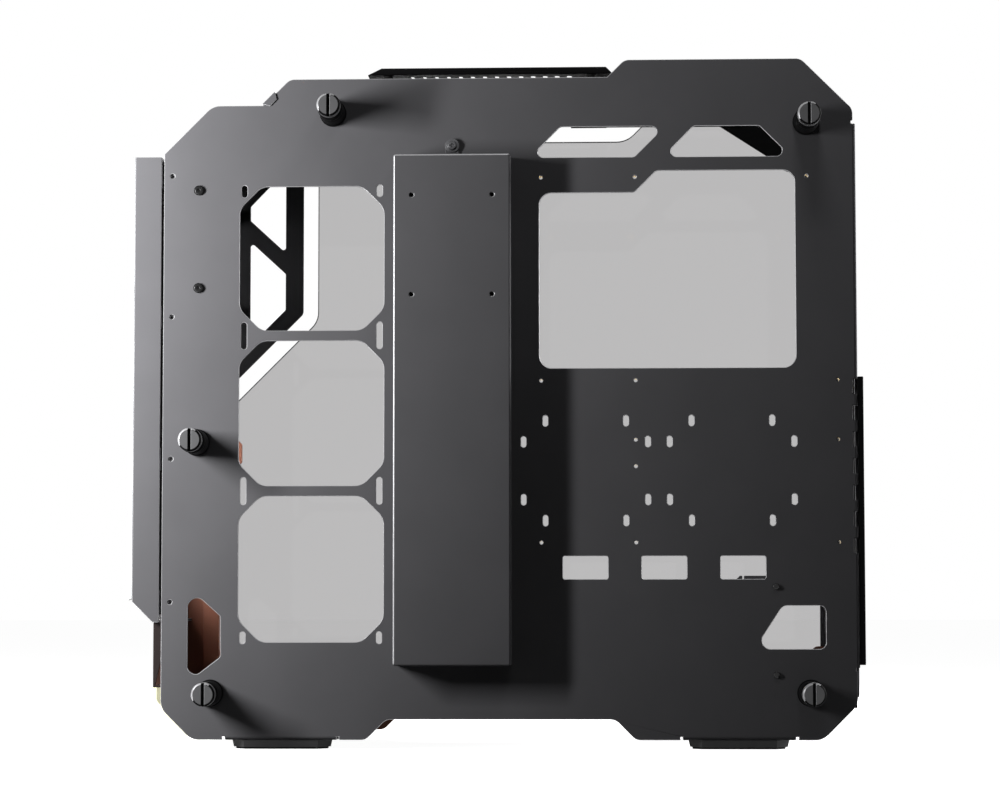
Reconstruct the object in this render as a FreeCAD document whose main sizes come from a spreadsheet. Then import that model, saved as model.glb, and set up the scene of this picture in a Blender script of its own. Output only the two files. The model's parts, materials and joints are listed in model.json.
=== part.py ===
import FreeCAD, Part
import math
import os
import re
from FreeCAD import Placement, Rotation, Vector

# Open frame mid tower PC case, millimetres.
# X: +X is the cable side, where the main tray shows its outer face. Y: -Y is the front. Z: up.
# The origin is the middle of the floor under the case.

doc = FreeCAD.newDocument("open_frame_pc_case")

# Driving dimensions: alias, value, what it is
SIZES = [
    ("tray_face", 78.0, "X of the outer face of the main tray"),
    ("sheet", 2.0, "thickness of the main folded sheets"),
    ("thin_sheet", 1.5, "thickness of the light folded sheets"),
    ("left_face", -100.0, "X of the outer face of the far side sheets"),
    ("tray_front", -260.0, "Y of the tray's front edge"),
    ("tray_rear", 273.0, "Y of the tray's rear edge and of the rear wall's inner face"),
    ("tray_low", 7.0, "Z of the tray's lowest edge"),
    ("tray_high", 531.0, "Z of the tray's highest edge"),
    ("belly_rise", 15.6, "rise of the middle of the lower edge"),
    ("mid_drop", 13.4, "drop of the middle of the upper edge"),
    ("front_drop", 33.8, "drop of the front of the upper edge"),
    ("front_top_cut", 37.5, "corner cut at the front top"),
    ("rear_top_cut", 39.6, "corner cut at the rear top"),
    ("front_low_cut", 23.9, "corner cut at the front bottom"),
    ("rear_low_cut", 26.7, "corner cut at the rear bottom"),
    ("front_step", -182.9, "Y where the front upper step starts"),
    ("rear_step", 84.1, "Y where the rear upper step starts"),
    ("belly_front", -102.1, "Y where the lower edge starts to rise"),
    ("belly_rear", 104.2, "Y where the lower edge is down again"),
    ("corner_round", 14.0, "radius of the tray's outer corners"),
    ("step_round", 9.0, "radius of the tray's small steps"),
    ("board_rear", 260.0, "Y of the motherboard's rear column of holes"),
    ("board_top", 439.4, "Z of the motherboard's top row of holes"),
    ("board_mid_column", 154.94, "from the rear column to the middle column"),
    ("board_front_column", 227.33, "from the rear column to the front column"),
    ("board_top_offset", 22.86, "offset of the top rear hole"),
    ("board_row_a", 157.48, "from the top row to the second row"),
    ("board_row_b", 203.2, "from the top row to the small board row"),
    ("board_row_c", 223.5, "from the top row to the extra middle hole"),
    ("board_row_d", 281.94, "from the top row to the bottom row"),
    ("standoff_tall", 6.5, "height of a motherboard stand-off"),
    ("standoff_wide", 5.5, "diameter of a motherboard stand-off"),
    ("standoff_bore", 2.5, "threaded bore of a stand-off"),
    ("fan_span", 112.0, "width of a fan opening"),
    ("fan_cut", 17.0, "corner cut of a fan opening"),
    ("fan_round", 13.0, "corner radius of a fan opening"),
    ("fan_pitch", 120.0, "distance between fans"),
    ("fan_screws", 105.0, "distance between fan screws"),
    ("fan_slot_wide", 4.5, "width of a fan screw slot"),
    ("fan_slot_short", 9.3, "length of a short fan screw slot"),
    ("fan_slot_long", 21.0, "length of a slot that two fans share"),
    ("fan_column", -144.8, "Y of the middle of the tray's fans"),
    ("fan_top", 377.5, "Z of the middle of the top tray fan"),
    ("window_front", 31.4, "Y of the front edge of the cooler window"),
    ("window_rear", 228.1, "Y of the rear edge of the cooler window"),
    ("window_low", 291.5, "Z of the lower edge of the cooler window"),
    ("window_high", 444.3, "Z of the upper edge of the cooler window"),
    ("window_step", 16.9, "step in the window's upper edge"),
    ("window_step_at", 104.8, "Y where the window's upper edge steps up"),
    ("window_round", 9.5, "corner radius of the cooler window"),
    ("vent_low", 455.0, "Z of the lower edge of the two top slots"),
    ("vent_high", 478.9, "Z of the upper edge of the two top slots"),
    ("vent_round", 4.5, "corner radius of the two top slots"),
    ("cable_hole_wide", 34.5, "width of a cable window"),
    ("cable_hole_tall", 17.6, "height of a cable window"),
    ("cable_hole_low", 129.5, "Z of the lower edge of the cable windows"),
    ("cable_hole_first", 49.0, "Y of the front edge of the first cable window"),
    ("cable_hole_pitch", 60.2, "distance between cable windows"),
    ("drive_slot_wide", 4.0, "width of a drive screw slot"),
    ("drive_slot_long", 8.4, "length of a drive screw slot"),
    ("small_drive_wide", 61.72, "hole distance across a 2.5 inch drive"),
    ("small_drive_long", 76.6, "hole distance along a 2.5 inch drive"),
    ("large_drive_wide", 95.25, "hole distance across a 3.5 inch drive"),
    ("large_drive_long", 44.45, "hole distance along a 3.5 inch drive"),
    ("drive_middle", 212.6, "Z of the middle of the drive holes"),
    ("drive_front", 66.7, "Y of the middle of the front drive"),
    ("drive_rear", 178.6, "Y of the middle of the rear drive"),
    ("wall_low", 61.8, "Z of the lower end of the rear wall"),
    ("wall_drop", 51.1, "from the tray's highest edge down to the upper end of the rear wall"),
    ("relief", 2.5, "width of the relief notches beside the folds"),
    ("flange", 15.0, "depth of the rear wall's far side flange"),
    ("fold_round", 1.9, "outer bend radius of the rear wall"),
    ("foot_bend", 2.8, "outer bend radius of the foot flanges"),
    ("io_top", 448.0, "Z of the top of the connector opening"),
    ("io_tall", 158.75, "height of the connector opening"),
    ("io_wide", 44.45, "width of the connector opening"),
    ("io_gap", 6.0, "from the tray's inner face to the connector opening"),
    ("rear_fan_x", -40.0, "X of the middle of the rear fan"),
    ("rear_fan_z", 385.0, "Z of the middle of the rear fan"),
    ("fan_hole", 4.5, "diameter of a rear fan screw hole"),
    ("slot_top", 276.7, "Z of the middle of the top expansion slot"),
    ("slot_pitch", 20.32, "distance between expansion slots"),
    ("slot_count", 7, "number of expansion slots"),
    ("slot_wide", 14.6, "width of an expansion slot opening"),
    ("slot_near", 66.0, "X of the tray end of a slot opening"),
    ("slot_far", -42.0, "X of the screw end of a slot opening"),
    ("ledge_x", -45.4, "X of the inner face of the slot cover ledge"),
    ("ledge_deep", 11.0, "how far the ledge stands out behind the wall"),
    ("cover_wide", 18.4, "width of a slot cover"),
    ("cover_sheet", 1.0, "thickness of a slot cover"),
    ("notch_tall", 11.7, "height of a notch in the rear fold"),
    ("rail_wide", 8.0, "width of the slot rail"),
    ("rail_deep", 4.4, "depth of the slot rail"),
    ("rail_low", 64.0, "Z of the lower end of the slot rail"),
    ("rail_high", 284.4, "Z of the upper end of the slot rail"),
    ("psu_wide", 150.0, "width of the power supply opening"),
    ("psu_tall", 86.0, "height of the power supply opening"),
    ("psu_low", 47.4, "Z of the lower edge of the power supply opening"),
    ("psu_border", 13.0, "border of the power supply opening"),
    ("psu_hole", 4.2, "diameter of a power supply screw hole"),
    ("psu_gap", 14.0, "from the tray's inner face to the power supply opening"),
    ("floor_top", 43.4, "Z of the top face of the bottom tray"),
    ("floor_flange", 12.0, "height of the bottom tray's side flanges"),
    ("box_front", -80.1, "Y of the cable cover's front face"),
    ("box_wide", 89.7, "width of the cable cover"),
    ("box_low", 63.9, "Z of the cable cover's lower end"),
    ("box_tall", 391.2, "height of the cable cover"),
    ("box_deep", 22.0, "how far the cable cover stands off the tray"),
    ("box_round", 1.8, "outer bend radius of the cable cover"),
    ("box_screw_y", -36.0, "Y of the cable cover's screw"),
    ("box_screw_gap", 9.4, "from the cable cover's upper end to its screw"),
    ("box_screw_head", 11.0, "diameter of the cable cover screw's head and of its tab"),
    ("post_wide", 19.0, "diameter of a post on the cable side"),
    ("post_ring", 0.8, "depth of a ring groove round a post"),
    ("far_post_wide", 16.0, "diameter of a post on the glass side"),
    ("post_foot", 20.6, "diameter of the foot of a post"),
    ("post_foot_thick", 3.0, "thickness of the foot of a post"),
    ("post_tall", 28.0, "height of a post on the cable side"),
    ("knob_wide", 18.0, "diameter of a thumb knob"),
    ("knob_tall", 14.0, "height of a cable side thumb knob"),
    ("knob_bevel", 1.25, "bevel round the knob's face"),
    ("knob_slot", 2.3, "width of the slot in a knob"),
    ("knob_slot_deep", 2.2, "depth of the slot in a knob"),
    ("knob_groove", 1.0, "depth of the grip groove round a knob"),
    ("far_post_tall", 5.0, "height of a post on the glass side"),
    ("far_knob_tall", 10.0, "height of a glass side thumb knob"),
    ("washer_thick", 1.0, "thickness of a rubber washer"),
    ("screw_wide", 5.0, "diameter of the screw shank of a knob"),
    ("top_knob_y", -128.5, "Y of the top front knobs"),
    ("top_knob_drop", 27.2, "from the middle of the upper edge down to the top front knob"),
    ("far_top_knob_drop", 43.6, "the same drop on the glass side"),
    ("front_knob_inset", 27.0, "from the tray's front edge to the middle front knob"),
    ("front_knob_z", 235.0, "Z of the middle front knob"),
    ("low_knob_inset", 38.4, "from the tray's front edge to the lower front knob"),
    ("low_knob_rise", 35.8, "from the tray's lowest edge to the lower knobs"),
    ("rear_knob_inset", 35.9, "from the tray's rear edge to the rear knobs"),
    ("rear_knob_drop", 49.8, "from the tray's highest edge down to the upper rear knob"),
    ("glass", 4.0, "thickness of the side glass"),
    ("glass_hole", 6.4, "diameter of a hole in the side glass"),
    ("front_glass_thick", 3.4, "thickness of the front glass"),
    ("front_face", -282.6, "Y of the front frame's outer face"),
    ("frame_low", 96.8, "Z of the front frame's lower end"),
    ("frame_high", 457.4, "Z of the front frame's upper end"),
    ("frame_gap", 2.0, "gap between the front frame and the tray"),
    ("frame_border", 26.0, "width of the border of the front frame"),
    ("frame_tab", 18.0, "height of a tab behind the tray"),
    ("front_hole", 3.8, "diameter of the holes along the tray's front edge"),
    ("front_hole_inset", 6.5, "from the tray's front edge to the hole line"),
    ("rod_y", -232.8, "Y of the two tie rods"),
    ("rod_high", 431.0, "Z of the upper tie rod"),
    ("rod_low", 354.9, "Z of the lower tie rod"),
    ("rod_wide", 10.0, "diameter of a tie rod"),
    ("rod_screw_head", 7.8, "diameter of a tie rod screw head"),
    ("wing_rear", -170.2, "Y of the rear edge of the truss wing"),
    ("wing_front", -258.0, "Y of the front edge of the truss wing"),
    ("wing_drop", 3.2, "from the front of the tray's upper edge down to the truss wing"),
    ("wing_bar", 15.0, "width of the upright bar of the truss wing"),
    ("wing_cell", 29.6, "width of a cell of the truss wing"),
    ("wing_upright", 141.7, "length of the wing's upright rear edge"),
    ("wing_low_bar", 13.0, "width of the wing's slanted bar"),
    ("strut_wide", 12.5, "width of the wing's strut"),
    ("strut_drop", 108.0, "from the wing's top down to the strut's foot on the upright bar"),
    ("side_glass_front", -248.0, "Y of the side glass's front edge"),
    ("side_glass_top_front", -158.8, "Y of the front edge of the top of the side glass"),
    ("side_glass_upright", 150.1, "length of the side glass's upright edge over its slanted one"),
    ("side_glass_rear", 262.0, "Y of the side glass's rear edge"),
    ("side_glass_low", 27.0, "Z of the side glass's lower edge"),
    ("side_glass_drop", 20.0, "drop of the side glass below the tray's upper edge"),
    ("side_glass_cut", 24.0, "corner cut of the side glass"),
    ("side_glass_round", 18.0, "corner radius of the side glass"),
    ("chin_face", -266.6, "Y of the front face of the chin"),
    ("light_high", 46.8, "Z of the upper edge of the chin light"),
    ("light_thick", 3.0, "thickness of the chin light"),
    ("lower_frame_strip", 18.0, "width of the copper frame's front strip"),
    ("lower_frame_gap", 13.1, "from the truss wing's lower corner down to the copper frame"),
    ("lower_frame_top", 60.0, "Z of the upper edge of the copper frame's lower strip"),
    ("lower_frame_rear_rise", 15.5, "rise at the rear end of the lower strip"),
    ("lower_frame_rear_flat", 18.0, "length of the raised rear end of the lower strip"),
    ("ear_reach", 20.0, "how far the knob ear reaches behind the front strip"),
    ("ear_tall", 25.0, "height of the knob ear"),
    ("top_tray_gap", 2.0, "from the tray's upper edge down to the top tray"),
    ("top_tray_skirt", 12.0, "height of the top tray's flange on the tray"),
    ("top_slot_long", 12.0, "length of a top fan screw slot"),
    ("filter_front", -103.0, "Y of the front end of the top cover"),
    ("filter_rise", 7.0, "height of the bumpers under the top cover"),
    ("filter_thick", 5.4, "thickness of the top cover"),
    ("filter_bevel", 5.0, "bevel at the ends of the top cover"),
    ("filter_inset", 10.0, "from the tray's inner face to the top cover"),
    ("filter_slot", 4.0, "width of a slot in the top cover"),
    ("filter_bar", 5.5, "width of a bar in the top cover"),
    ("filter_slot_count", 14, "number of slots along the top cover"),
    ("panel_inset", 1.0, "from the tray's outline to the front top panel"),
    ("panel_end_gap", 2.0, "gap beside the front top panel on the far side"),
    ("button_travel", 1.5, "travel of a button"),
    ("power_wide", 14.0, "diameter of the power button"),
    ("reset_wide", 7.0, "diameter of the reset button"),
    ("button_gap", 0.3, "clearance round a button"),
    ("button_lip", 1.4, "how far a button stands out"),
    ("port_gap", 0.2, "clearance round a port"),
    ("board_drop", 12.0, "from the sloped panel down to its circuit board"),
    ("board_thick", 1.6, "thickness of the circuit board"),
    ("foot_long", 77.0, "length of a foot"),
    ("foot_wide", 24.0, "width of a foot"),
    ("foot_cut", 10.0, "corner cut of a foot"),
    ("foot_inset", 2.0, "from the side faces to a foot"),
    ("foot_pad", 1.5, "thickness of a foot pad"),
    ("foot_front", -206.0, "Y of the front end of the front feet"),
    ("foot_rear", 144.5, "Y of the front end of the rear feet"),
    ("foot_flange_wide", 24.0, "depth of the foot flanges"),
    ("foot_flange_over", 4.4, "how far a foot flange reaches past its foot"),
    ("guide_y", 211.4, "Y of the two screws of the power supply brackets"),
    ("guide_high", 123.7, "Z of the upper bracket's screw"),
    ("guide_low", 56.5, "Z of the lower bracket's screw"),
    ("guide_front", 33.4, "from the screw to the front end of the upper bracket"),
    ("guide_tall", 20.0, "height of the upper bracket"),
    ("guide_corner", 6.0, "corner cut of the upper bracket"),
    ("guide_slit", 1.2, "width of the slit in the upper bracket"),
    ("low_guide_long", 17.0, "length of the lower bracket"),
    ("hook_thick", 1.3, "thickness of the lip that laps over the tray's edge"),
    ("hook_wide", 13.5, "width of the lip at the tray's edge"),
    ("hook_low_wide", 7.4, "width of the lip at its lower end"),
    ("hook_deep", 4.1, "how far the lip reaches down the tray's face"),
    ("edge_gap", 0.2, "clearance over the tray's edge"),
]

sheet = doc.addObject("Spreadsheet::Sheet", "sizes")
sheet.set("A1", "meaning")
sheet.set("B1", "millimetres")
for row, (alias, value, meaning) in enumerate(SIZES, 2):
    sheet.set(f"A{row}", meaning)
    sheet.set(f"B{row}", str(value))
    sheet.setAlias(f"B{row}", alias)
doc.recompute()


class Values:
    """The numbers of the spreadsheet, read by their aliases."""


s = Values()
for alias, _, _ in SIZES:
    setattr(s, alias, float(sheet.get(alias)))

# Places that follow from the driving dimensions
tray_in = s.tray_face - s.sheet
wall_out = s.tray_rear + s.sheet
left_in = s.left_face + s.sheet
mid_high = s.tray_high - s.mid_drop
front_high = s.tray_high - s.front_drop
belly_low = s.tray_low + s.belly_rise
front_step_end = s.front_step + s.front_drop - s.mid_drop
half_turn = math.sin(math.radians(45))
rear_column = s.board_rear
front_hole_y = s.tray_front + s.front_hole_inset
front_hole_rows = [442.3, 332.5, 222.4, 112.3]
wall_high = s.tray_high - s.wall_drop
box_screw_z = s.box_low + s.box_tall + s.box_screw_gap
wing_high = front_high - s.wing_drop
wing_sum = wing_high - s.wing_upright - s.wing_rear
side_glass_sum = front_high - s.side_glass_upright - s.side_glass_top_front
lower_frame_high = s.wing_front + wing_sum - s.lower_frame_gap
low_knob_z = s.tray_low + s.low_knob_rise
rear_knob_y = s.tray_rear - s.rear_knob_inset
knob_places = [(s.top_knob_y, mid_high - s.top_knob_drop), (s.tray_front + s.front_knob_inset, s.front_knob_z),
               (s.tray_front + s.low_knob_inset, low_knob_z), (rear_knob_y, s.tray_high - s.rear_knob_drop),
               (rear_knob_y, low_knob_z)]
far_knob_places = [(s.top_knob_y, mid_high - s.far_top_knob_drop)] + knob_places[1:]


def bound(text):
    """An expression on the spreadsheet: each name gets the sheet's name in front."""
    return re.sub(r"[A-Za-z_]\w*", r"sizes.\g<0>", text)


def rounded(corners):
    """Sketch lines and arcs through corners (u, v, radius); a radius of 0 keeps the corner sharp."""
    count = len(corners)
    starts, ends, arcs = [], [], []
    for i, (u, v, radius) in enumerate(corners):
        here = Vector(u, v, 0)
        back = Vector(*corners[i - 1][:2], 0) - here
        ahead = Vector(*corners[(i + 1) % count][:2], 0) - here
        back.normalize()
        ahead.normalize()
        if not radius:
            starts.append(here)
            ends.append(here)
            arcs.append(None)
            continue
        half = back.getAngle(ahead) / 2
        reach = radius / math.tan(half)
        middle = (back + ahead).normalize() * (radius / math.sin(half)) + here
        nearest = middle + (here - middle).normalize() * radius
        starts.append(here + back * reach)
        ends.append(here + ahead * reach)
        arcs.append(Part.Arc(starts[-1], nearest, ends[-1]))
    loop = []
    for i in range(count):
        if arcs[i]:
            loop.append(arcs[i])
        ahead = starts[(i + 1) % count]
        if (ahead - ends[i]).Length > 1e-6:
            loop.append(Part.LineSegment(ends[i], ahead))
    return loop


def rectangle(u0, v0, u1, v1, radius=0):
    return rounded([(u0, v0, radius), (u1, v0, radius), (u1, v1, radius), (u0, v1, radius)])


def octagon(u, v, span, cut, radius):
    """A square opening with cut and rounded corners."""
    h = span / 2
    return rounded([(u - h, v - h + cut, radius), (u - h + cut, v - h, radius),
                    (u + h - cut, v - h, radius), (u + h, v - h + cut, radius),
                    (u + h, v + h - cut, radius), (u + h - cut, v + h, radius),
                    (u - h + cut, v + h, radius), (u - h, v + h - cut, radius)])


def circle(u, v, diameter):
    return [Part.Circle(Vector(u, v, 0), Vector(0, 0, 1), diameter / 2)]


def slot(u, v, long, wide, upright=True):
    """A slot with round ends, centred on (u, v)."""
    r, h = wide / 2, long / 2 - wide / 2
    if not upright:
        return [Part.LineSegment(Vector(u - h, v - r, 0), Vector(u + h, v - r, 0)),
                Part.Arc(Vector(u + h, v - r, 0), Vector(u + h + r, v, 0), Vector(u + h, v + r, 0)),
                Part.LineSegment(Vector(u + h, v + r, 0), Vector(u - h, v + r, 0)),
                Part.Arc(Vector(u - h, v + r, 0), Vector(u - h - r, v, 0), Vector(u - h, v - r, 0))]
    return [Part.LineSegment(Vector(u + r, v - h, 0), Vector(u + r, v + h, 0)),
            Part.Arc(Vector(u + r, v + h, 0), Vector(u, v + h + r, 0), Vector(u - r, v + h, 0)),
            Part.LineSegment(Vector(u - r, v + h, 0), Vector(u - r, v - h, 0)),
            Part.Arc(Vector(u - r, v - h, 0), Vector(u, v - h - r, 0), Vector(u + r, v - h, 0))]


# Sheet metal bodies: slabs and cuts along one axis, bound to the sheet

nodes = {}


def new_body(label):
    body = doc.addObject("PartDesign::Body", label)
    body.Label = label
    nodes[label] = body
    return body


def sketch_at(body, plane, place, loops):
    """A sketch on an origin plane of the body, moved to a place along the third axis."""
    sketch = body.newObject("Sketcher::SketchObject", "outline")
    origin = [f for f in body.Origin.OriginFeatures if f.Role == plane + "_Plane"][0]
    sketch.AttachmentSupport = (origin, "")
    sketch.MapMode = "FlatFace"
    sign = "-" if plane == "XZ" else ""
    sketch.setExpression("AttachmentOffset.Base.z", sign + "(" + bound(place) + ")")
    for loop in loops:
        sketch.addGeometry(loop, False)
    return sketch


def slab(body, plane, low, high, loops):
    """Adds the loops between two places. Looking along Y a sketch faces forward."""
    sketch = sketch_at(body, plane, high if plane == "XZ" else low, loops)
    pad = body.newObject("PartDesign::Pad", "slab")
    pad.Profile = sketch
    pad.setExpression("Length", bound(f"({high}) - ({low})"))
    body.Tip = pad
    return pad


def cut(body, plane, low, high, loops):
    """Cuts the loops between two places."""
    sketch = sketch_at(body, plane, low if plane == "XZ" else high, loops)
    pocket = body.newObject("PartDesign::Pocket", "cut")
    pocket.Profile = sketch
    pocket.setExpression("Length", bound(f"({high}) - ({low})"))
    body.Tip = pocket
    return pocket


def group(label, shapes):
    """Like pieces that share one node, each a solid of its own."""
    node = doc.addObject("Part::Feature", label)
    node.Label = label
    node.Shape = shapes[0] if len(shapes) == 1 else Part.makeCompound(shapes)
    nodes[label] = node
    return node


def rod(x0, x1, y, z, diameter):
    """A round bar along X."""
    return Part.makeCylinder(diameter / 2, abs(x1 - x0), Vector(min(x0, x1), y, z), Vector(1, 0, 0))


def turned(profile, x, y, z, outward):
    """A part turned about X: profile is (distance along the axis, radius), from the seat outwards."""
    points = [Vector(outward * a, r, 0) for a, r in profile]
    face = Part.Face(Part.makePolygon(points + points[:1]))
    solid = face.revolve(Vector(0, 0, 0), Vector(1, 0, 0), 360)
    solid.translate(Vector(x, y, z))
    return solid


# Main tray: one sheet with the foot flanges folded from it

def tray_corners(radius, small):
    low, high = s.tray_low, s.tray_high
    front, rear = s.tray_front, s.tray_rear
    return [
        (front, low + s.front_low_cut, radius),
        (front, front_high - s.front_top_cut, 0),
        (front + s.front_top_cut, front_high, radius),
        (s.front_step, front_high, 0),
        (front_step_end, mid_high, small),
        (s.rear_step, mid_high, 0),
        (s.rear_step + s.mid_drop, high, small),
        (rear - s.rear_top_cut, high, small),
        (rear, high - s.rear_top_cut, small),
        (rear, low + s.rear_low_cut, radius),
        (rear - s.rear_low_cut, low, radius),
        (s.belly_rear, low, small),
        (s.belly_rear - s.belly_rise, belly_low, small),
        (s.belly_front + s.belly_rise, belly_low, small),
        (s.belly_front, low, small),
        (front + s.front_low_cut, low, radius),
    ]


def foot_places():
    return [s.foot_front, s.foot_rear]


def fan_rows():
    return [s.fan_top - i * s.fan_pitch for i in range(3)]


def board_holes():
    """Threaded stand-off places, as (Y, Z)."""
    columns = [rear_column, rear_column - s.board_mid_column, rear_column - s.board_front_column]
    top, row_a, row_d = s.board_top, s.board_top - s.board_row_a, s.board_top - s.board_row_d
    places = [(columns[0] - s.board_top_offset, top), (columns[1], top), (columns[2], top)]
    places += [(y, z) for z in (row_a, row_d) for y in columns]
    places += [(y, s.board_top - s.board_row_b) for y in columns[:2]]
    places += [(columns[1], s.board_top - s.board_row_c)]
    return places


def drive_slots():
    """Upright screw slots for two drives of either size, as loops."""
    loops = []
    for middle in (s.drive_front, s.drive_rear):
        for wide, tall in ((s.small_drive_wide, s.small_drive_long), (s.large_drive_wide, s.large_drive_long)):
            for y in (middle - wide / 2, middle + wide / 2):
                for z in (s.drive_middle - tall / 2, s.drive_middle + tall / 2):
                    loops.append(slot(y, z, s.drive_slot_long, s.drive_slot_wide))
    return loops


def fan_slots():
    loops = []
    reach = s.fan_screws / 2
    rows = fan_rows()
    for y in (s.fan_column - reach, s.fan_column + reach):
        loops.append(slot(y, rows[0] + reach, s.fan_slot_short, s.fan_slot_wide))
        loops.append(slot(y, rows[-1] - reach, s.fan_slot_short, s.fan_slot_wide))
        for upper, lower in zip(rows, rows[1:]):
            loops.append(slot(y, (upper + lower) / 2, s.fan_slot_long, s.fan_slot_wide))
    return loops


def cooler_window():
    r = s.window_round
    low_top = s.window_high - s.window_step
    return rounded([
        (s.window_front, s.window_low, r), (s.window_rear, s.window_low, r),
        (s.window_rear, s.window_high, r), (s.window_step_at + s.window_step, s.window_high, r / 2),
        (s.window_step_at, low_top, r / 2), (s.window_front, low_top, r)])


def top_vents():
    """The two slanted slots above the cooler window."""
    r, low, high = s.vent_round, s.vent_low, s.vent_high
    tall = high - low
    front, middle, rear = s.window_front - 7.5, s.window_step_at, s.window_rear - 3.0
    bar = 17.5
    first = rounded([(front, low, r), (middle, low, r), (middle + tall, high, r), (front + tall, high, r)])
    second = rounded([(middle + bar + r, low, r), (rear, low, r), (rear - tall, high, r),
                      (middle + bar + r + tall, high, r)])
    return [first, second]


def cable_windows():
    loops = []
    for i in range(3):
        y = s.cable_hole_first + i * s.cable_hole_pitch
        loops.append(rectangle(y, s.cable_hole_low, y + s.cable_hole_wide,
                               s.cable_hole_low + s.cable_hole_tall, 1.6))
    return loops


def rear_cable_hole():
    return rounded([(195.0, 76.2, 6.5), (249.2, 76.2, 5.0), (249.2, 109.2, 5.0), (216.6, 109.2, 6.5)])


def front_cable_hole():
    return rounded([(-239.6, 57.6, 6.5), (-231.5, 57.0, 5.0), (-214.0, 70.4, 4.0),
                    (-214.3, 101.4, 2.0), (-232.0, 117.2, 6.5), (-239.6, 111.5, 6.5)])


def slot_rows():
    return [s.slot_top - i * s.slot_pitch for i in range(int(s.slot_count))]


def psu_span():
    """Near and far X of the power supply opening."""
    near = tray_in - s.psu_gap
    return near, near - s.psu_wide


def psu_screws():
    """Screw places of a full size supply, measured from the opening's lower near corner."""
    near, far = psu_span()
    return [(near - 6, s.psu_low + 80), (far + 6, s.psu_low + 80),
            (near - 6, s.psu_low + 16), (far + 30, s.psu_low + 6)]


def psu_window():
    """The opening inside the power supply's ring of screws."""
    b, c = s.psu_border, 8.0
    near, far = psu_span()
    low, high = s.psu_low + b, s.psu_low + s.psu_tall - b
    return rounded([(far + b, low + c, 2), (far + b + c, low, 2), (near - b - c, low, 2), (near - b, low + c, 2),
                    (near - b, high - c, 2), (near - b - c, high, 2), (far + b + c, high, 2),
                    (far + b, high - c, 2)])


def outside_bend(x, z, radius):
    """The sliver that a bend takes off the corner between the tray and a foot flange."""
    start, end = Vector(x - radius, z, 0), Vector(x, z + radius, 0)
    nearest = Vector(x - radius + radius * half_turn, z + radius - radius * half_turn, 0)
    corners = [end, Vector(x + 1, z + radius, 0), Vector(x + 1, z - 1, 0), Vector(x - radius, z - 1, 0), start]
    return [Part.Arc(start, nearest, end)] + [Part.LineSegment(a, b) for a, b in zip(corners, corners[1:])]


def edge_notches():
    """Notches in the rear edge, one beside each expansion slot."""
    return [rectangle(s.tray_rear - 2, z - s.notch_tall / 2, wall_out + 1, z + s.notch_tall / 2)
            for z in slot_rows()]


def build_tray():
    body = new_body("tray_plate")
    slab(body, "YZ", "tray_face - sheet", "tray_face", [rounded(tray_corners(s.corner_round, s.step_round))])
    over = s.foot_flange_over
    slab(body, "XY", "tray_low", "tray_low + sheet",
         [rectangle(s.tray_face - s.foot_flange_wide, y - over, s.tray_face, y + s.foot_long + over)
          for y in foot_places()])
    for foot in ("foot_front", "foot_rear"):
        cut(body, "XZ", foot + " - foot_flange_over", foot + " + foot_long + foot_flange_over",
            [outside_bend(s.tray_face, s.tray_low, s.foot_bend)])
    through = ("tray_face - 2 * sheet", "tray_face + sheet")
    cut(body, "YZ", *through, [octagon(s.fan_column, z, s.fan_span, s.fan_cut, s.fan_round)
                               for z in fan_rows()])
    cut(body, "YZ", *through, fan_slots() + drive_slots())
    cut(body, "YZ", *through, [cooler_window(), rear_cable_hole(), front_cable_hole()]
        + top_vents() + cable_windows())
    small = [circle(front_hole_y, z, s.front_hole) for z in front_hole_rows]
    small += [circle(y, z, s.standoff_bore) for y, z in board_holes()]
    cut(body, "YZ", *through, small)
    reliefs = [rectangle(s.tray_rear - 1.4, wall_high, s.tray_rear + 1, wall_high + s.relief),
               rectangle(s.tray_rear - 1.4, s.wall_low - s.relief, s.tray_rear + 1, s.wall_low)]
    for y in foot_places():
        for edge in (y - over - s.sheet, y + s.foot_long + over):
            reliefs.append(rectangle(edge, s.tray_low - 1, edge + s.sheet, s.tray_low + s.relief))
    cut(body, "YZ", *through, reliefs)
    cut(body, "YZ", *through, edge_notches())


# Rear wall: a folded sheet that meets the tray's rear edge, with the slots and the supply's opening

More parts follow.
